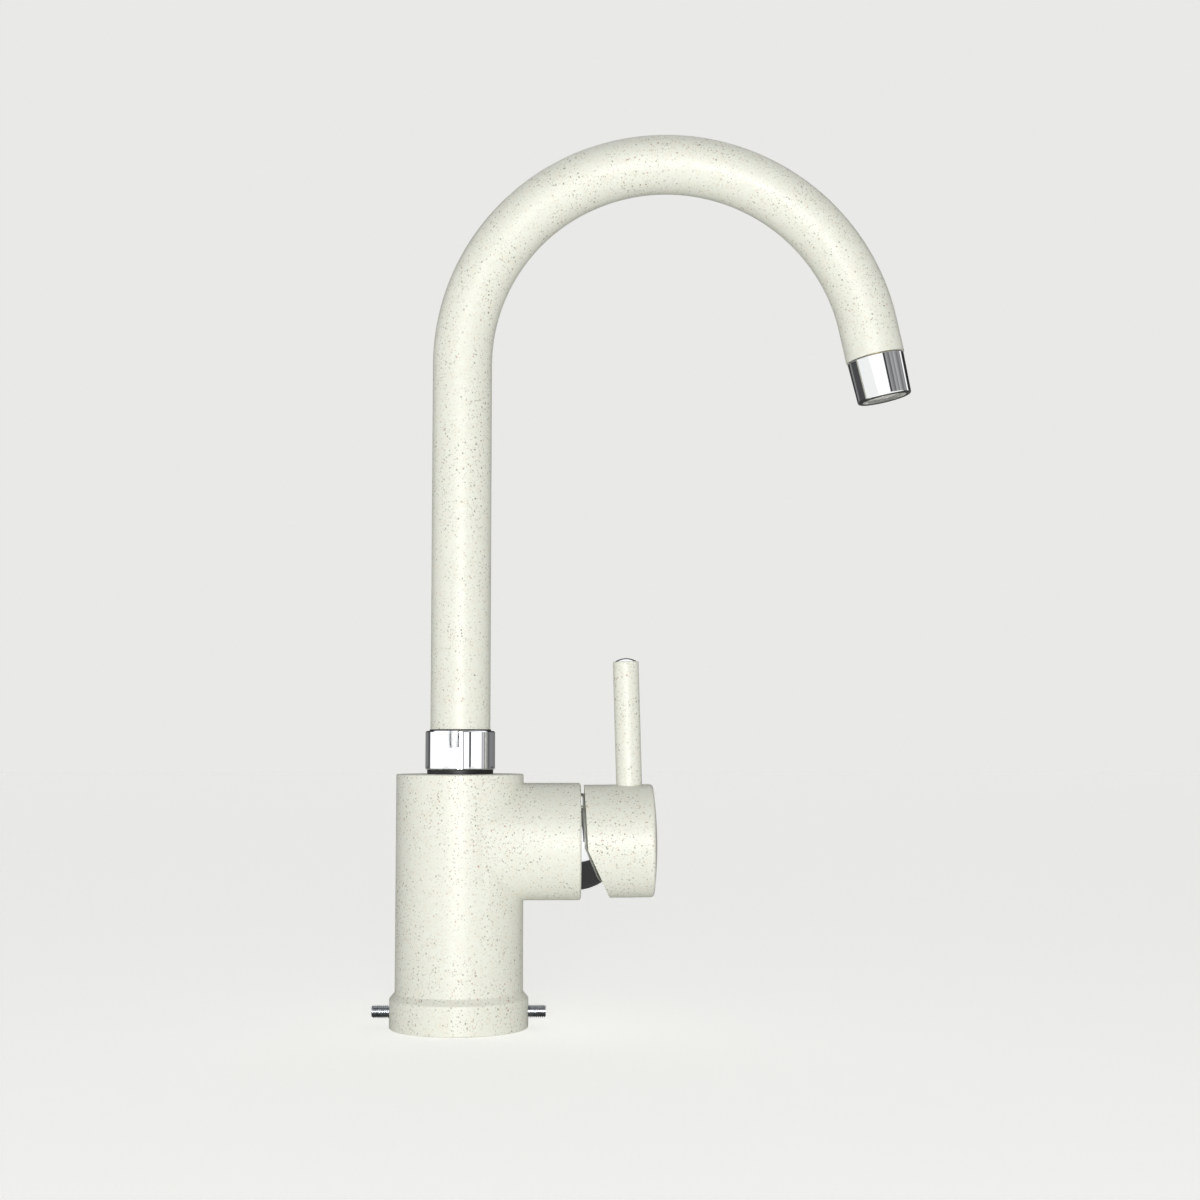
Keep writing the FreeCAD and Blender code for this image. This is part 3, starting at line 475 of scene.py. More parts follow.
def machined_brass(finish):
    """Turned and drilled dezincification-resistant brass: a warm yellow with fine rings from the tool."""
    material, tree, shader, place_mm = new_material(
        "machined_brass", Metallic=1.0, Base_Color=rgba(finish.brass))
    squeeze = add_node(tree, "Mapping", {"Vector": place_mm, "Scale": (0.15, 0.15, 4.0)})
    rings = add_node(tree, "TexNoise", {"Vector": squeeze, "Scale": 1.0, "Detail": 3.0})
    gloss = add_node(tree, "MapRange", {"Value": rings, "To Min": 0.30, "To Max": 0.48})
    bump = add_node(tree, "Bump", {"Height": rings, "Strength": 0.5, "Distance": 0.02 * MM})
    feed(shader, {"Roughness": gloss, "Normal": bump})
    return material


def zinc_plated_steel(finish):
    """Rolled-thread steel with a bright zinc plate: cool grey, a little cloudy, with a soft glint."""
    material, tree, shader, place_mm = new_material("zinc_plated_steel", Metallic=1.0)
    cloud = add_node(tree, "TexNoise", {"Vector": place_mm, "Scale": 1.2, "Detail": 4.0})
    tone = add_node(tree, "ValToRGB", {"Fac": cloud})
    for element, position, shade in zip(
            tone.color_ramp.elements, (0.3, 0.7), (finish.steel_dull, finish.steel)):
        element.position = position
        element.color = rgba(shade)
    gloss = add_node(tree, "MapRange", {"Value": cloud, "To Min": 0.22, "To Max": 0.40})
    feed(shader, {"Base Color": tone, "Roughness": gloss})
    return material


def moulded(name, code, roughness, grain, depth):
    """Moulded plastic, rubber or ceramic: an even colour with the fine texture of its mould, whose grain and
    depth are in millimetres."""
    material, tree, shader, place_mm = new_material(name, IOR=1.5)
    noise = add_node(tree, "TexNoise", {"Vector": place_mm, "Scale": 1 / grain, "Detail": 3.0})
    tone = add_node(tree, "ValToRGB", {"Fac": noise})
    for element, share in zip(tone.color_ramp.elements, (0.88, 1.08)):
        element.color = rgba([min(1, c * share) for c in linear(code)])
    gloss = add_node(tree, "MapRange", {
        "Value": noise, "To Min": roughness - 0.08, "To Max": roughness + 0.08})
    bump = add_node(tree, "Bump", {"Height": noise, "Strength": 0.5, "Distance": depth * MM})
    feed(shader, {"Base Color": tone, "Roughness": gloss, "Normal": bump})
    return material


# The record's slots, and what makes each. Of a moulded one: its name, colour, roughness, grain and depth
METAL_OR_LACQUER = {
    "speckled_coating": speckled_lacquer,
    "chrome": polished_chrome,
    "raw_brass": machined_brass,
    "zinc_steel": zinc_plated_steel,
}
MOULDED = {
    # Sealing rubber: matt black with a dusty grain
    "black_rubber": ("epdm_rubber", "#1B1B1C", 0.62, 0.25, 0.01),
    # Acetal slip washer: black with a dull shine
    "black_plastic": ("black_acetal", "#0C0C0D", 0.5, 0.5, 0.004),
    # Acetal, natural: slightly translucent milky white
    "white_plastic": ("natural_acetal", "#EDECE6", 0.36, 0.6, 0.004),
    # Glass-filled polyamide of the cartridge: mid grey, a little rough
    "grey_plastic": ("grey_polyamide", "#8B9095", 0.45, 0.3, 0.006),
    # Ground alumina: dense white with a silky lapped face
    "white_ceramic": ("lapped_alumina", "#F2F0EA", 0.24, 0.15, 0.001),
}


def finish_named(slot):
    """The material for one of the record's slots, made when it is first asked for."""
    if slot in MOULDED:
        return bpy.data.materials.get(MOULDED[slot][0]) or moulded(*MOULDED[slot])
    make = METAL_OR_LACQUER[slot]
    return bpy.data.materials.get(make.__name__) or make(bpy.context.scene.tap_finish)


# ---- pieces


class TapOperator(bpy.types.Operator):
    """What the operators of the tap share"""

    bl_options = {"REGISTER", "UNDO"}


class MIXERTAP_OT_body(TapOperator):
    """Model the cast body: skirt, barrel and branch, with their bores"""

    bl_idname = "mixer_tap.body"
    bl_label = "Body"

    def execute(self, context):
        sizes = context.scene.tap_sizes
        coat, brass = finish_named("speckled_coating"), finish_named("raw_brass")
        skirt, barrel, branch = (
            mm(size) / 2 for size in (sizes.skirt_diameter, sizes.barrel_diameter, sizes.branch_diameter))
        top, reach = mm(sizes.body_height), mm(sizes.branch_reach)
        foot_round, shoulder_round, crown_round, lip_round = 0.6, 0.7, 0.6, 1.2
        shoulder_height, face_width, limb_start = 11.15, 8, 4

        foot = arc(foot_round, (skirt - foot_round, foot_round), -90, 0, 4)
        shoulder = arc(shoulder_round, (skirt - shoulder_round, shoulder_height), 0, 40, 4)
        # The slope above the shoulder runs into the barrel in a small hollow
        slope_end = [(barrel + 0.25, 13.62), (barrel + 0.06, 13.95), (barrel, 14.35)]
        crown = arc(crown_round, (barrel - crown_round, top - crown_round), 0, 90, 5)
        body = turned("tap_body", [
            (skirt - face_width, 0), *foot, *shoulder, *slope_end, *crown, (barrel - face_width, top)],
            coat, steps=ROUND_STEPS)
        lip = arc(lip_round, (branch - lip_round, reach - lip_round), 0, 90, 8)
        limb = turned("limb", [(branch, limb_start), *lip, (branch - 4, reach)], coat, steps=ROUND_STEPS)
        along = Matrix.Translation((0, 0, sizes.branch_height)) @ turn_about("Y", 90)
        combine(body, place(limb, along), "UNION")

        # The cartridge's chamber, with the thread for its nut and a broken edge at the mouth
        chamber_radius, chamber_floor, thread_start = CARTRIDGE_RADIUS + SLIP_GAP, 19.05, reach - 11.2
        mouth = MOUTH_THREAD_RADIUS + RUNNING_GAP
        chamber = turned("chamber", [
            (chamber_radius, chamber_floor), (chamber_radius, thread_start), (mouth, thread_start),
            (mouth, reach - 0.5), (mouth + 0.6, reach + 0.1), (mouth + 0.6, reach + OVERSHOOT)], brass)
        combine(body, place(chamber, along))

        # The stem's bore, the clip's groove and the nut's thread
        stem, clip_groove, thread = STEM_RADIUS + RUNNING_GAP, 11.3, NUT_THREAD_RADIUS + RUNNING_GAP
        bore_floor, clip_seat, clip_top, edge = 79, 88.2, 90.2, 12.5
        combine(body, turned("bore", [
            (stem, bore_floor), (stem, clip_seat), (clip_groove, clip_seat), (clip_groove, clip_top),
            (thread, clip_top), (thread, top - 0.4), (edge, top + 0.02), (edge, top + OVERSHOOT)], brass))

        # The hose cavity over the base ring's seat, and the groove for the base seal
        seat_radius, seat_depth, cavity_radius, cavity_height = 23, 12.5, 22, 46
        combine(body, turned("cavity", [
            (seat_radius, -OVERSHOOT), (seat_radius, seat_depth), (cavity_radius, seat_depth),
            (cavity_radius, cavity_height)], brass))
        inner, outer, depth = 24.15, 25.95, 1.8
        combine(body, turned("groove", [
            (inner, -OVERSHOOT), (outer, -OVERSHOOT), (outer, depth), (inner, depth)], brass, hollow=True))
        inlet_radius, screw_hole = 4.5, LOCK_SCREW_RADIUS + RUNNING_GAP
        for side in (-1, 1):
            y, inner_x, outer_x = side * 6.8, side * 15, side * 30
            combine(body, bar("inlet", inlet_radius, (0, y, 45), (0, y, 57), brass))
            combine(body, bar(
                "hole", screw_hole, (inner_x, 0, LOCK_SCREW_HEIGHT), (outer_x, 0, LOCK_SCREW_HEIGHT), brass))
        complete(body, "base", "speckled_coating", "body_casting")
        return {"FINISHED"}


class MIXERTAP_OT_lock_screws(TapOperator):
    """Model the two screws that stand out of the skirt, with their threads"""

    bl_idname = "mixer_tap.lock_screws"
    bl_label = "Lock screws"

    def execute(self, context):
        steel = finish_named("zinc_steel")
        pitch, crest, root = 0.8, LOCK_SCREW_RADIUS, 2.02
        tip, end, point, chamfer = 20.94, 33.92, 1.25, 0.7
        clear_selection()
        bpy.ops.mesh.primitive_plane_add(size=MM)
        screw = new_piece("lock_screw_right", steel)
        bpy.ops.object.mode_set(mode="EDIT")
        bpy.ops.mesh.merge(type="CENTER")
        bpy.ops.transform.translate(value=(root * MM, 0, (tip - 2 * pitch) * MM))
        for radial, rise in ((0, 0.2), (crest - root, 0.25), (0, 0.1), (root - crest, 0.25)):
            bpy.ops.mesh.extrude_region_move(TRANSFORM_OT_translate={"value": (radial * MM, 0, rise * MM)})
        bpy.ops.object.mode_set(mode="OBJECT")
        apply_modifier(
            screw, "SCREW", axis="Z", angle=math.radians(360), screw_offset=pitch * MM,
            iterations=math.ceil((end - tip) / pitch) + 4, steps=36, render_steps=36, use_merge_vertices=True,
            merge_threshold=1e-6, use_normal_calculate=True)
        pick(screw)
        bpy.ops.object.mode_set(mode="EDIT")
        for height, inner in ((tip - 0.3, True), (end + 0.3, False)):
            bpy.ops.mesh.select_all(action="SELECT")
            bpy.ops.mesh.bisect(
                plane_co=(0, 0, height * MM), plane_no=(0, 0, 1), use_fill=True, clear_inner=inner,
                clear_outer=not inner)
        close_mesh()

        # The tools stand at odd angles, so that none of their edges lies in a plane of the thread's
        wide = crest + 0.1
        blank = turned("blank", [
            (point, tip), (wide, tip + wide - point), (wide, end - chamfer), (wide - chamfer, end)],
            steel, steps=48)
        combine(screw, place(blank, turn_about("Z", 1.7)), "INTERSECT")
        socket_flats, socket_depth = 2.5, 2.5
        corner = socket_flats / math.sqrt(3)
        socket = turned("socket", [(corner, end - socket_depth), (corner, end + OVERSHOOT)], steel, steps=6)
        combine(screw, place(socket, turn_about("Z", 4.3)))

        other = screw.copy()
        other.data = screw.data.copy()
        other.name = other.data.name = "lock_screw_left"
        context.collection.objects.link(other)
        for piece, turn in ((screw, 90), (other, -90)):
            place(piece, Matrix.Translation((0, 0, LOCK_SCREW_HEIGHT * MM)) @ turn_about("Y", turn))
            complete(piece, "base", "zinc_steel", "lock_screws", angle=40)
        return {"FINISHED"}


class MIXERTAP_OT_collar(TapOperator):
    """Model the chromed collar with its spanner flats, the washer under it, and a thin black ring above it
    that is painted shade in the gap round the tube
    """

    bl_idname = "mixer_tap.collar"
    bl_label = "Collar and washer"

    def execute(self, context):
        sizes = context.scene.tap_sizes
        chrome = finish_named("chrome")
        tube, outer = mm(sizes.tube_diameter) / 2, mm(sizes.collar_diameter) / 2
        stem, socket = STEM_RADIUS + RUNNING_GAP, tube + OPEN_GAP
        base, ledge, top, chamfer = 100.2, 106.4, 115.4, 0.5
        collar = turned("collar", [
            (stem, NUT_BOTTOM), (NUT_THREAD_RADIUS, NUT_BOTTOM), (NUT_THREAD_RADIUS, base),
            (outer - chamfer, base), (outer, base + chamfer), (outer, top - chamfer), (outer - chamfer, top),
            (socket, top), (socket, ledge), (stem, ledge)], chrome, hollow=True, steps=ROUND_STEPS)
        flat_radius, flat_height, flat_turn = 12.5, 6.6, -112
        jaw_size = (20, 60, 8)
        for side in (-1, 1):
            centre = (side * (flat_radius + jaw_size[0] / 2), 0, top - flat_height + jaw_size[2] / 2)
            combine(collar, box("jaw", jaw_size, centre, chrome, turn_about("Z", flat_turn)))
        # The flats meet the round at a shallow angle, and mirror evenly only if that edge is softened too
        soften(collar, 0.12, segments=2, angle=15)
        complete(collar, "base", "chrome", "spout_nut")

        bore, rim, foot = NUT_THREAD_RADIUS + RUNNING_GAP, outer - 0.7, 98.5
        washer = turned(
            "collar_washer", [(bore, foot), (rim, foot), (rim, base), (bore, base)],
            finish_named("black_plastic"), hollow=True)
        soften(washer, 0.15, segments=2)
        complete(washer, "base", "black_plastic", "spout_washer")

        # A thin black ring at the collar's mouth round the tube is painted shade: it stands for the dark line
        # of shade in the gap between collar and tube
        lip, lip_width, lip_height = tube + 0.055, 0.28, 0.6
        shade_ring = turned("painted_gap_shade", [
            (lip, top), (lip + lip_width, top), (lip + lip_width, top + 0.45), (lip + 0.05, top + lip_height),
            (lip, top + lip_height)], finish_named("black_rubber"), hollow=True)
        complete(shade_ring, "base", "black_rubber")
        return {"FINISHED"}


class MIXERTAP_OT_gooseneck(TapOperator):
    """Model the bent tube of the spout"""

    bl_idname = "mixer_tap.gooseneck"
    bl_label = "Gooseneck"

    def execute(self, context):
        sizes = context.scene.tap_sizes
        start, bend_start = 108.58 * MM, BEND_START * MM
        clear_selection()
        bpy.ops.mesh.primitive_circle_add(vertices=128, radius=sizes.tube_diameter / 2, fill_type="NOTHING")
        tube = new_piece("gooseneck", finish_named("speckled_coating"), finish_named("raw_brass"))
        bpy.ops.object.mode_set(mode="EDIT")
        bpy.ops.mesh.select_all(action="SELECT")
        bpy.ops.transform.translate(value=(0, 0, start))
        bpy.ops.mesh.extrude_region_move(TRANSFORM_OT_translate={"value": (0, 0, bend_start - start)})
        bpy.ops.mesh.spin(
            steps=120, angle=-sizes.bend_angle, center=(sizes.bend_radius, 0, bend_start), axis=(0, 1, 0))
        heading = Vector((math.sin(sizes.bend_angle), 0, math.cos(sizes.bend_angle)))
        bpy.ops.mesh.extrude_region_move(TRANSFORM_OT_translate={"value": heading * OUTLET_STRAIGHT * MM})
        close_mesh()
        apply_modifier(
            tube, "SOLIDIFY", thickness=sizes.tube_wall, offset=-1, use_rim=True, material_offset=1,
            material_offset_rim=0)
        complete(tube, "spout", "speckled_coating", "spout_tube")
        return {"FINISHED"}


class MIXERTAP_OT_aerator(TapOperator):
    """Model the chromed sleeve at the outlet"""

    bl_idname = "mixer_tap.aerator"
    bl_label = "Aerator sleeve"

    def execute(self, context):
        thread, top, end, mouth, bevel = 9.98, 11.4, 10.9, 9.0, 0.35
        start, close, lip, chamfer, edge_round = OPEN_GAP, 17.3, 1.5, 0.3, 0.9
        edge = arc(edge_round, (end - edge_round, close - edge_round), 0, 90, 8)
        sleeve = turned("aerator_sleeve", [
            (thread, start), (top - bevel, start), (top, start + bevel), *edge, (mouth + chamfer, close),
            (mouth, close - chamfer), (mouth, close - lip), (thread, close - lip)],
            finish_named("chrome"), hollow=True, steps=ROUND_STEPS)
        place(sleeve, outlet_frame(context.scene.tap_sizes))
        complete(sleeve, "spout", "chrome", "aerator_housing")
        return {"FINISHED"}


class MIXERTAP_OT_dome(TapOperator):
    """Model the chromed dome over the cartridge"""

    bl_idname = "mixer_tap.dome"
    bl_label = "Cartridge dome"

    def execute(self, context):
        outer, wall, opening, foot = MOUTH_THREAD_RADIUS, 1.0, 14.5, RUNNING_GAP - PIN_SETBACK
        inner = outer - wall
        outer_end, inner_end = (math.degrees(math.acos(opening / radius)) for radius in (outer, inner))
        outline = [(inner, foot), (outer - 0.2, foot), (outer, foot + 0.2)]
        outline += arc(outer, (0, 0), 0, outer_end - 0.8, 20)
        outline += [(opening, math.sqrt(outer ** 2 - opening ** 2) - 0.25)]
        outline += arc(inner, (0, 0), inner_end, 0, 18)
        dome = turned("cartridge_dome", outline, finish_named("chrome"), hollow=True, steps=ROUND_STEPS)
        place(dome, branch_frame(context.scene.tap_sizes))
        complete(dome, "base", "chrome", "dome_cover")
        return {"FINISHED"}


class MIXERTAP_OT_handle_cap(TapOperator):
    """Model the handle's cap, with its bevelled rim, its hollow and the holes for the lever and the screw"""

    bl_idname = "mixer_tap.handle_cap"
    bl_label = "Handle cap"

    def execute(self, context):
        sizes = context.scene.tap_sizes
        coat, brass = finish_named("speckled_coating"), finish_named("raw_brass")
        r, rim, apex, dome, edge_round, end_wall = mm(sizes.cap_diameter) / 2, 4.6, 32.1, 161.0, 1.4, 5.0
        sphere = apex - dome
        edge_z = sphere + math.sqrt((dome - edge_round) ** 2 - (r - edge_round) ** 2)
        tilt = math.degrees(math.asin((r - edge_round) / (dome - edge_round)))
        outline = [(r - 0.6, 0), (r, 0), (r, rim + 8)]
        outline += arc(edge_round, (r - edge_round, edge_z), 0, 90 - tilt, 8)
        for radius in (18, 15, 12, 9, 6, 3, 0.8):
            outline.append((radius, sphere + math.sqrt(dome ** 2 - radius ** 2)))
        cap = turned("handle_cap_coated", outline, coat, steps=ROUND_STEPS)
        hollow_radius = MOUTH_THREAD_RADIUS + 0.7
        combine(cap, turned("hollow", [(hollow_radius, -OVERSHOOT), (hollow_radius, apex - end_wall)], coat))

        # The rim leans a little to the lever's side, and its lower part is bevelled so that the cap can tip
        pick(cap)
        bpy.ops.object.mode_set(mode="EDIT")
        for start, slope in ((0, math.radians(2.6)), (2.3, math.radians(24))):
            bpy.ops.mesh.select_all(action="SELECT")
            bpy.ops.mesh.bisect(
                plane_co=(start * MM, 0, rim * MM), plane_no=(-math.sin(slope), 0, math.cos(slope)),
                use_fill=True, clear_inner=True)
        bpy.ops.object.mode_set(mode="OBJECT")
        soften(cap, 0.28, segments=3, angle=40)

        # A boss grips the spindle, and two posts carry the lever's stud and the set screw
        boss_radius, boss_start, post_radius, core_radius, post_start = 8, 18, 6, 4.2, 11.5
        boss = turned("boss", [(boss_radius, boss_start), (boss_radius, 27.6)], coat, steps=64)
        combine(cap, boss, "UNION")
        lever_side, screw_side = across_cap(LEVER_TURN), across_cap(90)
        for side in (lever_side, screw_side):
            post = turned("post", [
                (core_radius, 0), (core_radius, post_start), (post_radius, post_start), (post_radius, 20.6)],
                coat, steps=64)
            combine(cap, place(post, side), "UNION")
        stud, lever = STUD_RADIUS + RUNNING_GAP, mm(sizes.lever_diameter) / 2 + RUNNING_GAP
        seat = turned("seat", [
            (stud, 11.9), (stud, 19.9), (lever, 19.9), (lever, r + OVERSHOOT)], brass, steps=96)
        combine(cap, place(seat, lever_side))
        plug_floor, plug_radius = r - 2.6 - SLIP_GAP, 3.28
        plug = turned("plug", [
            (stud, 0), (stud, plug_floor), (plug_radius, plug_floor), (plug_radius, r + OVERSHOOT)],
            brass, steps=64)
        combine(cap, place(plug, screw_side))
        square, square_start, square_length = 7.3, 17, 8.3
        combine(cap, box(
            "square", (square, square, square_length), (0, 0, square_start + square_length / 2), brass))
        place(cap, handle_frame(sizes))
        complete(cap, "handle", "speckled_coating", "handle_cap")
        return {"FINISHED"}


class MIXERTAP_OT_lever(TapOperator):
    """Model the lever and the chromed button in its end"""

    bl_idname = "mixer_tap.lever"
    bl_label = "Lever and button"

    def execute(self, context):
        sizes = context.scene.tap_sizes
        r, foot, end, edge_round = mm(sizes.lever_diameter) / 2, 19.98, 70.6, 0.5
        stud, stud_end, core, seat, seat_floor = STUD_RADIUS + RUNNING_GAP, foot + 8, 0.8, 4.5, end - 3
        edge = arc(edge_round, (r - edge_round, end - edge_round), 0, 90, 5)
        lever = turned("lever", [
            (core, stud_end), (stud, stud_end), (stud, foot), (r, foot), *edge, (seat, end),
            (seat, seat_floor), (core, seat_floor)], finish_named("speckled_coating"), steps=96)
        place(lever, lever_frame(sizes))
        complete(lever, "handle", "speckled_coating", "lever_rod")

        button_radius, rise = seat - RUNNING_GAP, 1.35
        ball = (button_radius ** 2 + rise ** 2) / (2 * rise)
        spread = math.degrees(math.asin(button_radius / ball))
        crown = arc(ball, (0, end + rise - ball), 90 - spread, 89.4, 12)
        button = turned("lever_button", [
            (button_radius, seat_floor + RUNNING_GAP), (button_radius, end - 0.15), *crown],
            finish_named("chrome"), steps=96)
        place(button, lever_frame(sizes))
        complete(button, "handle", "chrome", "lever_end_plug", angle=50)
        return {"FINISHED"}


class MIXERTAP_OT_inner_pieces(TapOperator):
    """Finish the pieces whose CAD shape stays: base ring, seals, cartridge, stem and small parts"""

    bl_idname = "mixer_tap.inner_pieces"
    bl_label = "Inner pieces"

    def execute(self, context):
        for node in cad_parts.values():
            if not node.hide_render:
                node.data.materials[0] = finish_named(node.data.materials[0].name)
        return {"FINISHED"}


# ---- stage


class MIXERTAP_OT_stage(TapOperator):
    """Set the floor, the room with its pale background, the soft lamp and the camera"""

    bl_idname = "mixer_tap.stage"
    bl_label = "Stage"

    def cloths(self, tree, share, marks):
        """A ramp of brightness round the tap, from its marks of azimuth and brightness."""
        ramp = add_node(tree, "ValToRGB", {"Fac": share})
        elements = ramp.color_ramp.elements
        for azimuth, light in marks[1:-1]:
            elements.new((azimuth + 180) / 360)
        for element, (azimuth, light) in zip(elements, marks):
            element.position = (azimuth + 180) / 360
            element.color = (light, light, light, 1)
        return ramp

    def gaps(self, tree, azimuth, colour, marks):
        """Darkens narrow upright lines in the cloths, from their azimuths and half their widths."""
        for middle, half in marks:
            gap = add_node(tree, "Math", {
                0: azimuth, 1: math.radians(middle), 2: math.radians(half)}, operation="COMPARE")
            colour = add_node(tree, "Mix", {0: gap, 6: colour, 7: (0.02, 0.02, 0.02, 1)}, data_type="RGBA")
        return colour

    def lay_floor(self, stage):
        """Lays a pale floor, which keeps the tap's shadow. Polished metal mirrors it pale in front of the tap
        and dark from there on."""
        clear_selection()
        bpy.ops.mesh.primitive_plane_add(size=14)
        paint, tree, shader, place_mm = new_material("studio_floor", Roughness=0.9)
        floor = new_piece("floor", paint)
        grain = add_node(tree, "TexNoise", {"Vector": place_mm, "Scale": 0.05, "Detail": 2.0})
        tone = add_node(tree, "Mix", {
            0: grain, 6: rgba(stage.floor), 7: rgba([c * 0.985 for c in stage.floor])}, data_type="RGBA")
        path = add_node(tree, "LightPath").outputs
        along = add_node(tree, "SeparateXYZ", {"Vector": place_mm})
        behind = add_node(tree, "MapRange", {
            "Value": along.outputs["Y"], "From Min": -82.0, "From Max": -74.0})
        shade = add_node(tree, "Math", {0: path["Is Glossy Ray"], 1: behind}, operation="MULTIPLY")
        mirrored = add_node(tree, "Mix", {0: shade, 6: tone, 7: (0.1, 0.1, 0.1, 1)}, data_type="RGBA")
        seen = add_node(tree, "Math", {
            0: path["Is Camera Ray"], 1: path["Is Glossy Ray"]}, operation="MAXIMUM")
        lift = add_node(tree, "MapRange", {
            "Value": seen, "To Min": stage.floor_glow, "To Max": stage.floor_lift})
        gleam = add_node(tree, "Math", {
            0: path["Is Glossy Ray"], 1: stage.floor_gleam, 2: lift}, operation="MULTIPLY_ADD")
        shown = add_node(tree, "Math", {0: gleam, 1: shade}, operation="SUBTRACT", use_clamp=True)
        feed(shader, {
            "Base Color": mirrored, "Emission Strength": shown, "Emission Color": rgba(stage.backdrop)})

    def light_room(self, context, stage):
        """Makes the world: the backdrop for the camera, an even light on the tap, and what polished metal
        mirrors."""
        world = bpy.data.worlds.new("studio")
        world.use_nodes = True
        context.scene.world = world
        tree = world.node_tree
        tree.nodes.clear()
        path = add_node(tree, "LightPath").outputs
        backdrop = add_node(tree, "Background", {"Color": rgba(stage.backdrop)})
        direction = add_node(tree, "TexCoord").outputs["Generated"]
        parts = add_node(tree, "SeparateXYZ", {"Vector": direction}).outputs

        # The room is brighter round about than overhead, and brightest behind the tap
        even = add_node(tree, "MapRange", {
            "Value": parts["Z"], "From Max": 0.9, "To Min": stage.room_light,
            "To Max": stage.room_light * stage.overhead})
        behind = add_node(tree, "MapRange", {
            "Value": parts["Y"], "From Min": 0.3, "To Max": stage.back_light})
        strength = add_node(tree, "Math", {0: even, 1: behind}, operation="ADD")
        room = add_node(tree, "Background", {"Color": (1, 1, 1, 1), "Strength": strength})

        # What polished metal mirrors: white cloths round the front with narrow gaps between them, a dark
        # ceiling over the right, and a window high behind. The azimuth runs from the front to the right
        front = add_node(tree, "Math", {0: parts["Y"], 1: -1.0}, operation="MULTIPLY")
        azimuth = add_node(tree, "Math", {0: parts["X"], 1: front}, operation="ARCTAN2")
        share = add_node(tree, "MapRange", {"Value": azimuth, "From Min": -math.pi, "From Max": math.pi})
        low = self.cloths(tree, share, (
            (-180, 0.12), (-140, 0.20), (-118, 0.04), (-112, 1.0), (76, 1.0), (80, 0.3), (86, 0.55),
            (92, 0.15), (98, 0.4), (108, 0.1), (124, 0.2), (180, 0.12)))
        low = self.gaps(tree, azimuth, low, ((-47.24, 0.03), (-46.97, 0.05), (13.2, 1.0), (35.2, 3.0)))
        middle = self.cloths(tree, share, (
            (-180, 0.04), (-118, 0.04), (-114, 1.0), (17, 1.0), (19, 0.03), (24, 0.03), (28, 0.3), (44, 0.12),
            (48, 0.35), (62, 0.2), (66, 0.4), (84, 0.15), (100, 0.3), (104, 0.1), (112, 1.0), (117, 1.0),
            (120, 0.02), (180, 0.04)))
        middle = self.gaps(tree, azimuth, middle, ((-80, 0.8), (-56, 0.6), (-30, 1.6)))
        high = self.cloths(tree, share, (
            (-180, 0.9), (-110, 0.9), (-100, 0.1), (100, 0.1), (110, 0.9), (180, 0.9)))
        overhead = self.cloths(tree, share, ((-180, 0.02), (180, 0.02)))
        colour = low
        for start, end, upper in ((0.018, 0.026, middle), (0.60, 0.68, high), (0.965, 0.975, overhead)):
            above = add_node(tree, "MapRange", {"Value": parts["Z"], "From Min": start, "From Max": end})
            colour = add_node(tree, "Mix", {0: above, 6: colour, 7: upper}, data_type="RGBA")
        mirrored = add_node(tree, "Background", {"Color": colour, "Strength": stage.cloth_light})
        unseen = add_node(tree, "MixShader", {0: path["Is Glossy Ray"], 1: room, 2: mirrored})
        world_light = add_node(tree, "MixShader", {0: path["Is Camera Ray"], 1: unseen, 2: backdrop})
        add_node(tree, "OutputWorld", {"Surface": world_light})

    def hang_lamp(self, context, stage):
        """Hangs the large soft lamp behind the camera."""
        lamp = bpy.data.lights.new("front_lamp", "AREA")
        lamp.shape = "RECTANGLE"
        lamp.size, lamp.size_y = stage.lamp_width, stage.lamp_height
        lamp.energy = stage.lamp_power
        lamp_object = bpy.data.objects.new("front_lamp", lamp)
        context.collection.objects.link(lamp_object)
        lamp_object.location = stage.lamp_place
        aim = Vector(stage.lamp_aim) - Vector(stage.lamp_place)
        lamp_object.rotation_euler = aim.to_track_quat("-Z", "Y").to_euler()

    def set_camera(self, context, stage):
        """Stands the camera where the photograph was taken from."""
        camera = bpy.data.cameras.new("camera")
        camera.sensor_width = 36
        camera.lens = stage.lens
        camera.clip_start = 0.01
        camera_object = bpy.data.objects.new("camera", camera)
        context.collection.objects.link(camera_object)
        turn = Matrix.Rotation(stage.camera_turn, 4, "Z") @ Matrix.Rotation(stage.camera_tilt, 4, "X")
        camera_object.matrix_world = Matrix.Translation(stage.camera_place) @ turn @ turn_about("X", 90)
        context.scene.camera = camera_object
        context.scene.view_settings.view_transform = "Standard"

    def execute(self, context):
        stage = context.scene.tap_stage
        self.lay_floor(stage)
        self.light_room(context, stage)
        self.hang_lamp(context, stage)
        self.set_camera(context, stage)
        return {"FINISHED"}


class MIXERTAP_PT_panel(bpy.types.Panel):
    """The tap's pieces, sizes and finishes"""

    bl_idname = "MIXERTAP_PT_panel"
    bl_label = "Mixer tap"
    bl_space_type = "VIEW_3D"
    bl_region_type = "UI"
    bl_category = "Mixer tap"

    def draw(self, context):
        for operator in OPERATORS:
            self.layout.operator(operator.bl_idname)
        for group in (context.scene.tap_sizes, context.scene.tap_finish, context.scene.tap_stage):
            column = self.layout.column()
            for key in group.__annotations__:
                column.prop(group, key)


OPERATORS = (
    MIXERTAP_OT_stage,
    MIXERTAP_OT_body,
    MIXERTAP_OT_lock_screws,
    MIXERTAP_OT_collar,
    MIXERTAP_OT_gooseneck,
    MIXERTAP_OT_aerator,
    MIXERTAP_OT_dome,
    MIXERTAP_OT_handle_cap,
    MIXERTAP_OT_lever,
    MIXERTAP_OT_inner_pieces,
)
GROUPS = {"tap_sizes": TapSizes, "tap_finish": TapFinish, "tap_stage": TapStage}
CLASSES = (*GROUPS.values(), *OPERATORS, MIXERTAP_PT_panel)


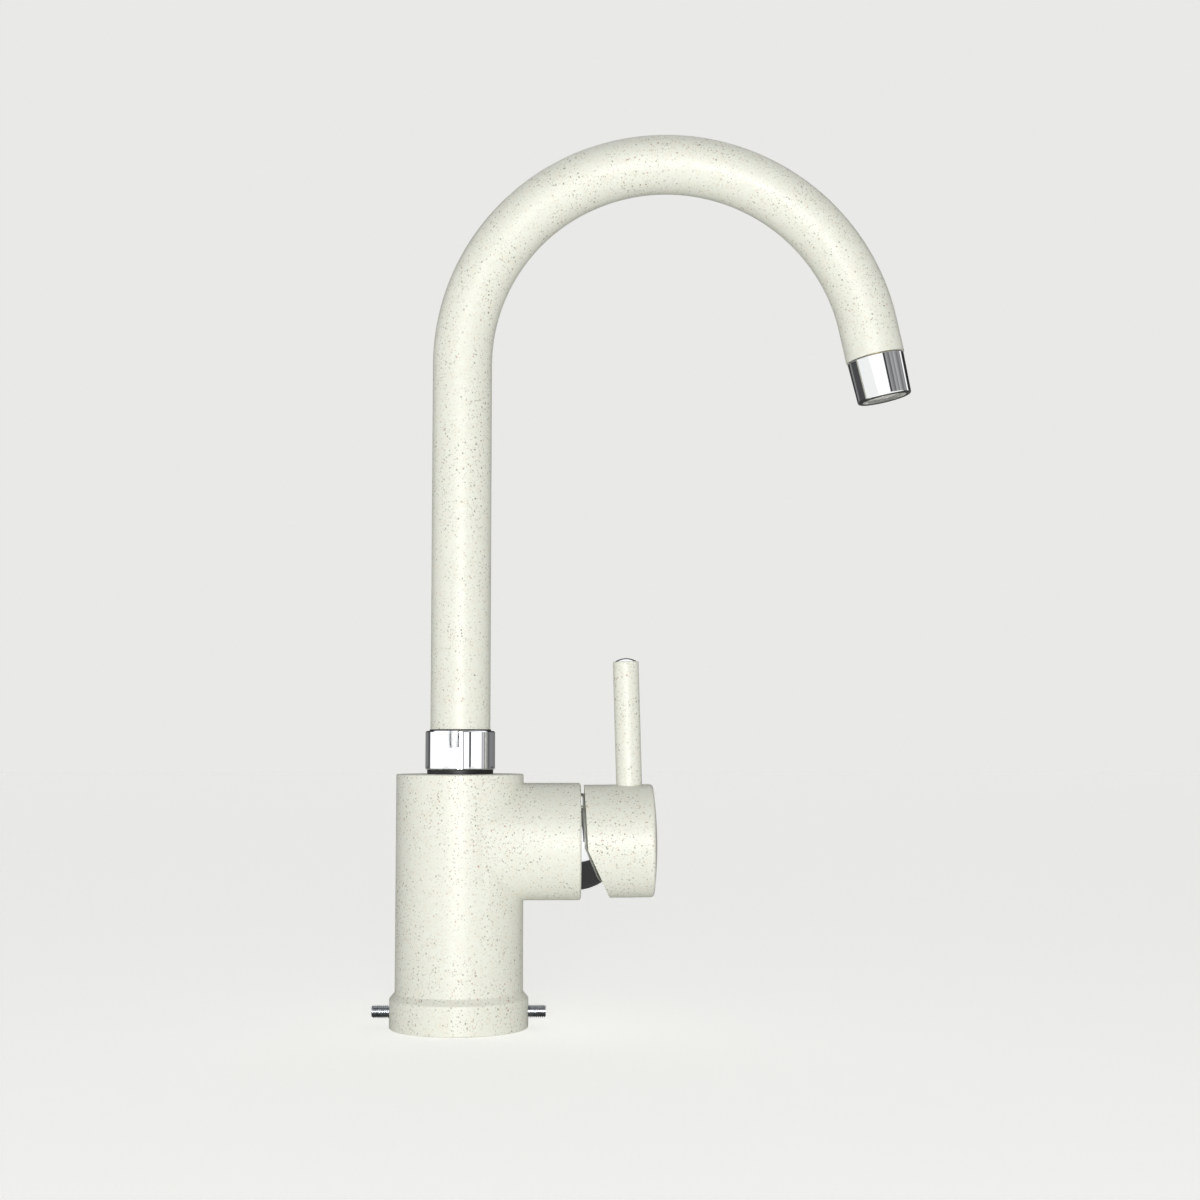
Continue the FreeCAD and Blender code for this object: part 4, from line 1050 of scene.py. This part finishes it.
def register():
    for part in CLASSES:
        bpy.utils.register_class(part)
    for name, group in GROUPS.items():
        setattr(bpy.types.Scene, name, bpy.props.PointerProperty(type=group))


def unregister():
    for name in GROUPS:
        delattr(bpy.types.Scene, name)
    for part in reversed(CLASSES):
        bpy.utils.unregister_class(part)


def main():
    register()
    for operator in OPERATORS:
        group, name = operator.bl_idname.split(".")
        getattr(getattr(bpy.ops, group), name)()


if __name__ == "__main__":
    main()
